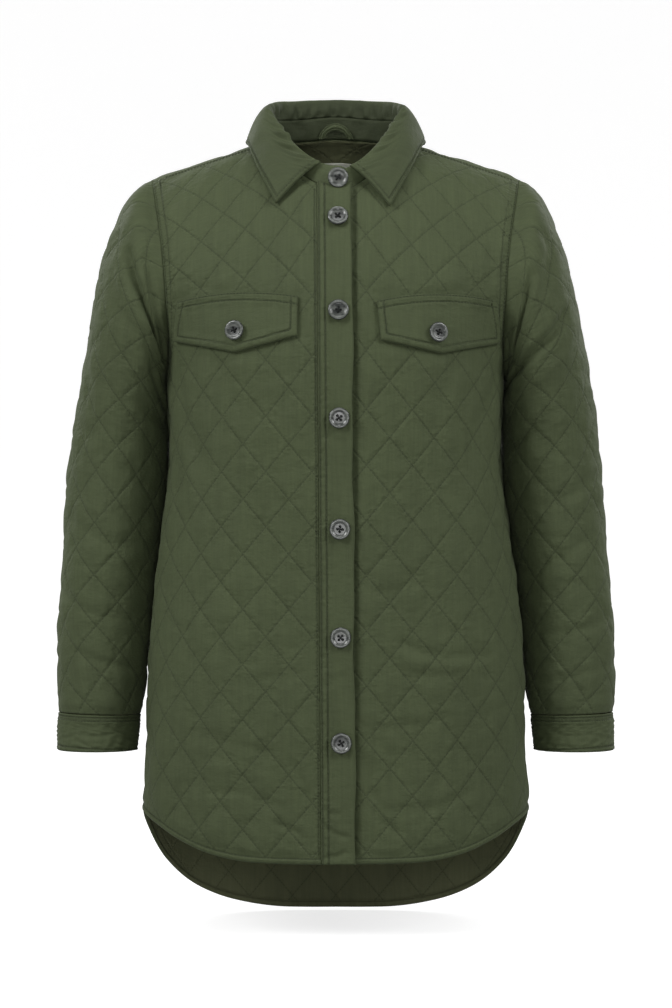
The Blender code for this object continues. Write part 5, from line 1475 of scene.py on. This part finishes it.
def make_leaf():
    """The turned-down leaf: each section is one cubic curve from the stand's top to the outer edge."""
    end = turn_at(LEAF_CORNER)
    tips = {side: cloth_of(FRONT, *LEAF_TIPS[side]) for side in LEAF_TIPS}
    rise, droop, beside, above = [smooth_curve(LEAF_ROWS[:, 0], row * MM) for row in LEAF_ROWS.T[1:]]
    turns = np.linspace(-end, end, LEAF_COLUMNS)
    up = np.array([0, 0, 1.0])
    grid = []
    for turn in turns:
        size = abs(turn)
        foot, away = stand_foot(turn)
        start = (foot - away * (STAND_LEAN + PLAIN_WALL / 2) + up * STAND_TALL
                 + away * float(beside(size)) + up * float(above(size)))
        stop = leaf_edge(turn, end, tips)
        level = 1 - np.clip((size - NECK_BACK_TURN) / (end - NECK_BACK_TURN), 0, 1)
        one = start + (stop - start) * (1 - level) / 3 + up * float(rise(size))
        two = stop + (start - stop) * (1 - level) / 3 + up * float(droop(size))
        u = np.linspace(0, 1, 61)[:, None]
        curve = (start * (1 - u) ** 3 + one * 3 * u * (1 - u) ** 2 + two * 3 * u * u * (1 - u)
                 + stop * u ** 3)
        grid.append(resample(curve, LEAF_LINES))
    grid = np.array(grid).transpose(1, 0, 2)
    middle = LEAF_COLUMNS // 2
    normals = grid_normals(grid, 1, (LEAF_LINES // 2, middle))
    cloth = grid_cloth(grid)
    width = lengths_along(grid, 1)
    ends = np.minimum(width, width[:, -1:] - width)
    lower = cloth[-1:, :, 1] - cloth[..., 1]
    edge = np.minimum(ends, lower)
    down, inset = cloth[..., 1], LEAF_SEWN * MM
    gathers = np.maximum(crumple(cloth, 85, 6, 15, 3.0, 30), -1.0) * bell(down, 6, 8) * fade(down, 0, 2)
    relief = (sewn_edge(edge, LEAF_SEWN, 0.4, 0.5) + 1.8 * MM * gathers
              + 0.35 * MM * crumple(cloth, 83, 24, 70) * fade(edge, 0, 8) * fade(down, 0, 10))
    outer = grid + normals * (PLAIN_WALL / 2 + relief)[..., None]
    inner = grid - normals * PLAIN_WALL / 2
    # painted shade: the whole leaf is darkened a little, and much more on its back part next to the
    # neck
    painted_shade = 0.28 + 0.72 * (1 - fade(down, 14, 8)) * ease((0.5 - np.abs(turns)) / 0.12)
    piece = wall_mesh("collar_cloth", outer, inner, cloth, plain_pair(),
                      sewn=np.stack([np.abs(edge - inset), painted_shade], axis=2))
    declare(piece, cloth, "collar")
    row = int(np.argmin(np.abs(lower[:, middle] - inset)))
    keep = ends[row] >= inset
    stitch_row(outer[row, keep], normals[row, keep])
    rows, count = np.arange(3, row + 1), np.arange(len(turns))
    near = [np.interp(inset, width[r], count) for r in rows]
    far = [np.interp(width[r, -1] - inset, width[r], count) for r in rows]
    for columns in (near, far):
        columns = np.round(columns).astype(int)
        stitch_row(outer[rows, columns], normals[rows, columns])


def make_loop():
    """The hanging loop: a flat band along half an oval on the stand's inner face."""
    rows = []
    for edge in np.linspace(0, LOOP_WIDE, 9):
        row = []
        for angle in np.linspace(0, math.pi, 61):
            x, z = (LOOP_HALF - edge) * math.cos(angle), (LOOP_RISE - edge) * math.sin(angle)
            turn = math.asin(np.clip(x / NECK_HALF, -1, 1)) / (math.pi / 2) * NECK_BACK_TURN
            foot, away = stand_foot(turn)
            bow = 1.2 * MM + 3.0 * MM * math.sin(angle)
            row.append((foot - away * (PLAIN_WALL + STAND_LEAN * z / STAND_TALL + bow)
                        + np.array([0, 0, z]), away))
        rows.append(row)
    base = np.array([[point for point, _ in row] for row in rows])
    aways = np.array([[away for _, away in row] for row in rows])
    cloth = grid_cloth(base)
    edge = np.minimum(cloth[..., 1], cloth[-1:, :, 1] - cloth[..., 1])
    outer = base - aways * (LOOP_WALL + sewn_edge(edge, LOOP_SEWN, 0.2, 0.2))[..., None]
    piece = wall_mesh("hanger_loop_cloth", outer, base, cloth, plain_pair(),
                      sewn=np.abs(edge - LOOP_SEWN * MM))
    declare(piece, cloth, "hanger_loop", folded=1.55)


def make_label():
    """The bare label under the loop, a little bowed off the lining."""
    top = cloth_of(BACK, 0, LABEL_TOP)[1]
    across, down = np.linspace(-LABEL_HALF, LABEL_HALF, 33), np.linspace(top, top + LABEL_TALL, 23)
    cloth = np.stack(np.meshgrid(across, down), axis=2)
    points, normals = on_body(BACK, cloth[..., 0], cloth[..., 1])
    bow = crumple(cloth, 91, 20, 50) * 0.2 * MM
    skin = points - normals * (WALL + LABEL_CLEAR - bow)[..., None]
    piece = wall_mesh("label_cloth", skin, skin - normals * LABEL_WALL, cloth, [finishes().label] * 2)
    declare(piece, cloth, "label")


# ---- buttons ----
BUTTON_PROFILE = np.array([  # radius and height above the back face, in mm, from the top's middle
    (0.5, 2.30), (1.0, 2.30), (1.5, 2.30), (1.75, 2.30), (2.0, 2.30), (2.25, 2.30), (2.5, 2.30),
    (2.75, 2.31), (3.0, 2.31), (3.25, 2.32), (3.5, 2.32), (3.75, 2.33), (4.0, 2.34), (4.25, 2.35),
    (4.6, 2.36), (5.2, 2.38), (5.8, 2.42), (6.2, 2.52), (6.6, 2.78), (7.0, 3.10), (7.5, 3.40),
    (8.1, 3.58), (8.7, 3.60), (9.2, 3.48), (9.6, 3.22), (9.9, 2.80), (10.0, 2.30), (9.95, 1.70),
    (9.7, 1.10), (9.2, 0.55), (8.6, 0.15), (8.2, 0.0), (4.0, 0.0)]) * MM
BUTTON_TOP = 20                        # rows of the profile that the holes can sink
BUTTON_MIDDLE = 2.3 * MM
BUTTON_SIDES = 96
HOLE_OFFSET, HOLE_RADIUS, HOLE_DEEP = 1.75 * MM, 1.0 * MM, 1.9 * MM
CROSS_HALF, CROSS_SPREAD, THREAD_RADIUS, SHANK_RADIUS = 2.1, 0.32, 0.34 * MM, 1.5 * MM


def button_shape():
    """A spun profile whose top sinks by 1.9 mm in four round holes; a fan closes each pole."""
    angles = np.linspace(0, 2 * math.pi, BUTTON_SIDES, endpoint=False)
    radius, height = BUTTON_PROFILE[:, 0:1], BUTTON_PROFILE[:, 1:2]
    x, y = radius * np.cos(angles), radius * np.sin(angles)
    hole = np.hypot(np.abs(x) - HOLE_OFFSET, np.abs(y) - HOLE_OFFSET)
    top = np.arange(len(radius))[:, None] < BUTTON_TOP
    z = height - HOLE_DEEP * ease((HOLE_RADIUS * 1.15 - hole) / (0.3 * HOLE_RADIUS)) * top
    grid = np.stack([x, y, np.broadcast_to(z, x.shape)], axis=2)
    points = np.concatenate([grid.reshape(-1, 3), [(0, 0, BUTTON_MIDDLE), (0, 0, 0)]])
    faces = quads(len(radius), BUTTON_SIDES, closed=True)[:, ::-1].tolist()
    ring = np.arange(BUTTON_SIDES)
    far, last = np.roll(ring, -1), len(points) - 2 - BUTTON_SIDES
    for one, two, pole in ((ring, far, len(points) - 2), (last + far, last + ring, len(points) - 1)):
        faces += np.stack([one, two, np.full(BUTTON_SIDES, pole)], axis=1).tolist()
    return points, faces


def tube_along(points, radius, sides=8):
    """A closed round tube along a line of points, with its ends pinched shut."""
    tangent = unit(np.gradient(points, axis=0))
    side = unit(np.cross(tangent, np.array([0.3, 0.2, 1.0])))
    other = np.cross(tangent, side)
    angles = np.linspace(0, 2 * math.pi, sides, endpoint=False)
    swell = radius * np.ones(len(points))
    swell[[0, -1]] *= 0.3
    c, s = np.cos(angles)[:, None], np.sin(angles)[:, None]
    grid = points[:, None] + (side[:, None] * c + other[:, None] * s) * swell[:, None, None]
    faces = quads(len(points), sides, closed=True)
    caps = [range(sides)[::-1], range((len(points) - 1) * sides, len(points) * sides)]
    return grid.reshape(-1, 3), faces.tolist() + caps


def button_places():
    """Name, point on the cloth, outward direction, size and turn of each button."""
    places = []
    x, z = STAND_BUTTON
    foot, away = stand_foot(-turn_at(-x))
    share = (z - foot[2]) / STAND_TALL
    point = foot - away * STAND_LEAN * share + np.array([0, 0, z - foot[2]])
    places.append(("button_1", point, away, 1.0, BUTTON_TURNS[0]))
    for number, z in enumerate(PLACKET_BUTTONS, start=2):
        across, down = cloth_of(FRONT, float(placket_middle(z)) + BUTTON_SIDE, z)
        point, normal = on_body(FRONT, across, down)
        places.append((f"button_{number}", point + normal * (PLACKET_PROUD + PLACKET_LIFT), normal, 1.0,
                       BUTTON_TURNS[number - 1]))
    for side, word in WORDS.items():
        x, z = FLAP_BUTTONS[side]
        point, normal = on_body(FRONT, *cloth_of(FRONT, side * x, z))
        proud = FLAP_PROUD + float(raised_by(side, x))
        places.append((f"flap_button_{word}", point + normal * proud, normal, FLAP_BUTTON_SCALE,
                       20 * side))
    return places


def make_button(name, point, normal, scale, turn):
    """A horn button standing on its thread shank, with crossed threads through its holes."""
    normal = unit(normal)
    side = unit(np.cross(np.array([0, 0, 1.0]), normal))
    up = np.cross(normal, side)
    c, s = math.cos(math.radians(turn)), math.sin(math.radians(turn))
    basis = np.stack([side * c + up * s, up * c - side * s, normal]) * scale
    seat = point + normal * BUTTON_FLOAT
    points, faces = button_shape()
    attach(add_mesh(f"{name}_horn", points @ basis + seat, faces, points[:, :2], [0] * len(faces),
                    [finishes().horn]), name)
    lines = []
    for dx in (-1, 1):
        t = np.linspace(-1, 1, 13)
        for spread in (-CROSS_SPREAD, CROSS_SPREAD):
            arch = 2.1 + 0.95 * np.clip(1 - t ** 4, 0, 1) + (0.18 if dx > 0 else 0)
            cross = np.stack([t * CROSS_HALF - spread * dx * 0.7, t * dx * CROSS_HALF + spread * 0.7,
                              arch], axis=1)
            lines.append((cross * MM, THREAD_RADIUS))
    lines.append((np.linspace((0, 0, -1.5), (0, 0, 0.3), 5) * MM, SHANK_RADIUS))
    verts, all_faces = [], []
    for line, radius in lines:
        grid, faces = tube_along(line, radius)
        base = sum(len(v) for v in verts)
        verts.append(grid)
        all_faces += [[base + k for k in face] for face in faces]
    attach(add_mesh(f"{name}_thread", np.concatenate(verts) @ basis + seat, all_faces, None,
                    [0] * len(all_faces), [finishes().dark_thread]))


# ---- stage ----
def aimed(name, data, place, direction):
    """A lamp or camera object at a place, looking in a direction."""
    item = bpy.data.objects.new(name, data)
    bpy.context.scene.collection.objects.link(item)
    item.location = place
    item.rotation_euler = Vector(direction).to_track_quat("-Z", "Y").to_euler()
    return item


def make_stage(settings):
    """A pale floor that curves up into a backdrop, soft lights, a bright surround and the camera."""
    low = CAD_BOX[0][2] - 3 * MM
    bend, deep, wide, tall, near = 1.6, 2.4, 6.0, 6.0, -5.0
    turn = np.linspace(0, math.pi / 2, 25)
    curve = np.stack([deep + bend * np.sin(turn), bend - bend * np.cos(turn)], axis=1)
    side = np.concatenate([[(near, 0.0)], curve, [(deep + bend, tall)]])
    across = np.linspace(-wide, wide, 5)
    points = np.stack(np.broadcast_arrays(across[None], side[:, 0:1], side[:, 1:2] + low), axis=2)
    material, w, shader = start_material("pale paper", 0.9)
    tune(shader, Base_Color=scaled(settings.floor_color), Specular_IOR_Level=0.0, Emission_Strength=1.0)
    w.join(w.mix(w.node("ShaderNodeLightPath").outputs["Is Camera Ray"], (0, 0, 0, 1),
                 scaled([settings.paper_glow] * 3)), shader.inputs["Emission Color"])
    faces = quads(len(side), 5).tolist()
    floor = add_mesh("floor", points.reshape(-1, 3), faces, None, [0] * len(faces), [material])

    scene = bpy.context.scene
    scene.view_settings.view_transform = "Standard"
    world = bpy.data.worlds.new("studio")
    world.use_nodes = True
    w = Wiring(world.node_tree)
    glow = world.node_tree.nodes["Background"]
    seen = w.times(w.node("ShaderNodeLightPath").outputs["Is Camera Ray"], 1.0 - settings.surround)
    w.join(w.plus(seen, settings.surround), glow.inputs["Strength"])
    tune(glow, Color=(1, 1, 1, 1))
    scene.world = world
    for name, place, aim, size, power in (
            ("key light", (-2.2, -1.6, 1.3), (0, 0, -0.25), 1.1, settings.key),
            ("fill light", (2.3, -1.6, 1.2), (0, 0, -0.25), 1.3, settings.key * 0.8),
            ("top light", (0.0, -0.8, 1.9), (0, 0, -0.05), 1.0, settings.key * 0.20),
            ("back light, right", (-1.5, 1.9, 1.2), (0, 0, -0.3), 1.3, settings.key * 0.55),
            ("back light, left", (1.6, 1.9, 1.1), (0, 0, -0.3), 1.3, settings.key * 0.5),
            ("low light", (0.0, -2.5, -0.5), (0, 0, -0.7), 0.7, settings.key * 0.16)):
        lamp = bpy.data.lights.new(name, "AREA")
        lamp.size, lamp.energy = size, power
        aimed(name, lamp, place, [a - b for a, b in zip(aim, place)]).visible_camera = False
    spot = bpy.data.lights.new("neck light", "SPOT")
    spot.energy, spot.spot_size, spot.spot_blend, spot.shadow_soft_size = settings.key, 0.056, 1.0, 0.02
    aimed("neck light", spot, (0.0, -1.5, 0.35), (0.0, 1.57, -0.375))
    lens = bpy.data.cameras.new("camera")
    lens.lens, lens.sensor_width = 107.14, 36.0
    scene.camera = aimed("camera", lens, (0.0003, -3.0, -0.354), (0, 1, 0))
    scene.camera.rotation_euler = (math.pi / 2, 0, 0)


# ---- settings, operators and panel ----
COLOR = dict(subtype="COLOR", size=3, min=0, max=1)


class JacketCloth(bpy.types.PropertyGroup):
    """Colours and depths of the cloth, thread and buttons."""
    cloth_color: FloatVectorProperty(
        name="Shell", description="Colour of the shell cloth",
        default=(0.050, 0.064, 0.028), **COLOR)
    inside_color: FloatVectorProperty(
        name="Inside", description="Colour of the inside cloth",
        default=(0.104, 0.113, 0.058), **COLOR)
    thread_color: FloatVectorProperty(
        name="Thread", description="Colour of the topstitching thread",
        default=(0.027, 0.036, 0.015), **COLOR)
    label_color: FloatVectorProperty(
        name="Label", description="Colour of the bare label", default=(0.42, 0.43, 0.37), **COLOR)
    button_thread_color: FloatVectorProperty(
        name="Button thread", description="Colour of the thread in the buttons",
        default=(0.006, 0.007, 0.006), **COLOR)
    horn_dark: FloatVectorProperty(
        name="Horn, dark", description="Darkest colour of the buttons",
        default=(0.014, 0.016, 0.016), **COLOR)
    horn_pale: FloatVectorProperty(
        name="Horn, pale", description="Palest colour of the buttons",
        default=(0.078, 0.084, 0.075), **COLOR)
    puff: FloatProperty(
        name="Puff", description="Rise of a diamond's middle, in millimetres",
        default=2.0, min=0, max=5)
    drape: FloatProperty(
        name="Drape", description="Depth of the cloth's soft unevenness, in millimetres",
        default=2.0, min=0, max=6)


class JacketStage(bpy.types.PropertyGroup):
    """Floor and light of the studio."""
    floor_color: FloatVectorProperty(
        name="Floor", description="Colour of the floor and backdrop",
        default=(0.4, 0.4, 0.4), **COLOR)
    paper_glow: FloatProperty(
        name="Paper glow", description="Brightness of the backdrop's paper itself",
        default=0.77, min=0, max=1)
    key: FloatProperty(
        name="Key light", description="Power of the key light; the others follow it", subtype="POWER",
        unit="POWER", default=67.0, min=0, max=2000)
    surround: FloatProperty(
        name="Surround", description="Strength of the surround's light", default=0.23, min=0, max=5)


class JACKET_OT_fronts(bpy.types.Operator):
    """Both quilted fronts, with their armhole and shoulder topstitching"""
    bl_idname = "jacket.fronts"
    bl_label = "Fronts"

    def execute(self, context):
        for side in (-1, 1):
            make_front(side)
        return {"FINISHED"}


class JACKET_OT_back(bpy.types.Operator):
    """The quilted back"""
    bl_idname = "jacket.back"
    bl_label = "Back"

    def execute(self, context):
        make_back()
        return {"FINISHED"}


class JACKET_OT_sleeves(bpy.types.Operator):
    """Both quilted sleeves"""
    bl_idname = "jacket.sleeves"
    bl_label = "Sleeves"

    def execute(self, context):
        for side in (-1, 1):
            make_sleeve(side)
        return {"FINISHED"}


class JACKET_OT_cuffs(bpy.types.Operator):
    """Both plain cuffs"""
    bl_idname = "jacket.cuffs"
    bl_label = "Cuffs"

    def execute(self, context):
        for side in (-1, 1):
            make_cuff(side)
        return {"FINISHED"}


class JACKET_OT_placket(bpy.types.Operator):
    """The plain band down the front opening"""
    bl_idname = "jacket.placket"
    bl_label = "Placket"

    def execute(self, context):
        make_placket()
        return {"FINISHED"}


class JACKET_OT_flaps(bpy.types.Operator):
    """Both pocket flaps"""
    bl_idname = "jacket.flaps"
    bl_label = "Flaps"

    def execute(self, context):
        for side in (-1, 1):
            make_flap(side)
        return {"FINISHED"}


class JACKET_OT_hems(bpy.types.Operator):
    """The bands along the hem"""
    bl_idname = "jacket.hems"
    bl_label = "Hems"

    def execute(self, context):
        side = float(side_line(FRONT, HEM_BAND + SEAM_GAP)[-1, 0])
        foot = -float(placket_edge(-1, FACES[FRONT].down(-HEM_FRONT))) + SEAM_GAP
        make_hem("hem_front_right", FRONT, -side, -foot, True)
        make_hem("hem_front_left", FRONT, -UNDERLAP, side, False)
        side = float(side_line(BACK, HEM_BAND + SEAM_GAP)[-1, 0])
        make_hem("hem_back", BACK, -side, side, False)
        return {"FINISHED"}


class JACKET_OT_collar(bpy.types.Operator):
    """The collar's stand and its turned-down leaf"""
    bl_idname = "jacket.collar"
    bl_label = "Collar"

    def execute(self, context):
        make_stand()
        make_leaf()
        return {"FINISHED"}


class JACKET_OT_neck_trim(bpy.types.Operator):
    """The hanging loop and the bare label inside the neck"""
    bl_idname = "jacket.neck_trim"
    bl_label = "Loop and label"

    def execute(self, context):
        make_loop()
        make_label()
        return {"FINISHED"}


class JACKET_OT_buttons(bpy.types.Operator):
    """The horn buttons and their thread"""
    bl_idname = "jacket.buttons"
    bl_label = "Buttons"

    def execute(self, context):
        for place in button_places():
            make_button(*place)
        return {"FINISHED"}


class JACKET_OT_topstitching(bpy.types.Operator):
    """The topstitching of every piece made so far"""
    bl_idname = "jacket.topstitching"
    bl_label = "Topstitching"

    def execute(self, context):
        sew_stitches("topstitching")
        return {"FINISHED"}


class JACKET_OT_stage(bpy.types.Operator):
    """Floor, lights and camera"""
    bl_idname = "jacket.stage"
    bl_label = "Stage"

    def execute(self, context):
        make_stage(context.scene.jacket_stage)
        return {"FINISHED"}


OPERATORS = (JACKET_OT_stage, JACKET_OT_fronts, JACKET_OT_back, JACKET_OT_sleeves, JACKET_OT_cuffs,
             JACKET_OT_placket, JACKET_OT_flaps, JACKET_OT_hems, JACKET_OT_collar, JACKET_OT_neck_trim,
             JACKET_OT_buttons, JACKET_OT_topstitching)


class JACKET_PT_panel(bpy.types.Panel):
    """Lists the jacket's settings and the steps that make it"""
    bl_idname = "JACKET_PT_panel"
    bl_label = "Quilted shirt jacket"
    bl_space_type = "VIEW_3D"
    bl_region_type = "UI"
    bl_category = "Jacket"

    def draw(self, context):
        for settings in (context.scene.jacket_cloth, context.scene.jacket_stage):
            box = self.layout.box()
            for key in settings.__annotations__:
                box.prop(settings, key)
        for operator in OPERATORS:
            self.layout.operator(operator.bl_idname)


CLASSES = (JacketCloth, JacketStage, *OPERATORS, JACKET_PT_panel)


def register():
    for item in CLASSES:
        bpy.utils.register_class(item)
    bpy.types.Scene.jacket_cloth = PointerProperty(type=JacketCloth)
    bpy.types.Scene.jacket_stage = PointerProperty(type=JacketStage)


def unregister():
    del bpy.types.Scene.jacket_stage
    del bpy.types.Scene.jacket_cloth
    for item in reversed(CLASSES):
        bpy.utils.unregister_class(item)


def main():
    register()
    for operator in OPERATORS:
        section, name = operator.bl_idname.split(".")
        getattr(getattr(bpy.ops, section), name)()


if __name__ == "__main__":
    main()
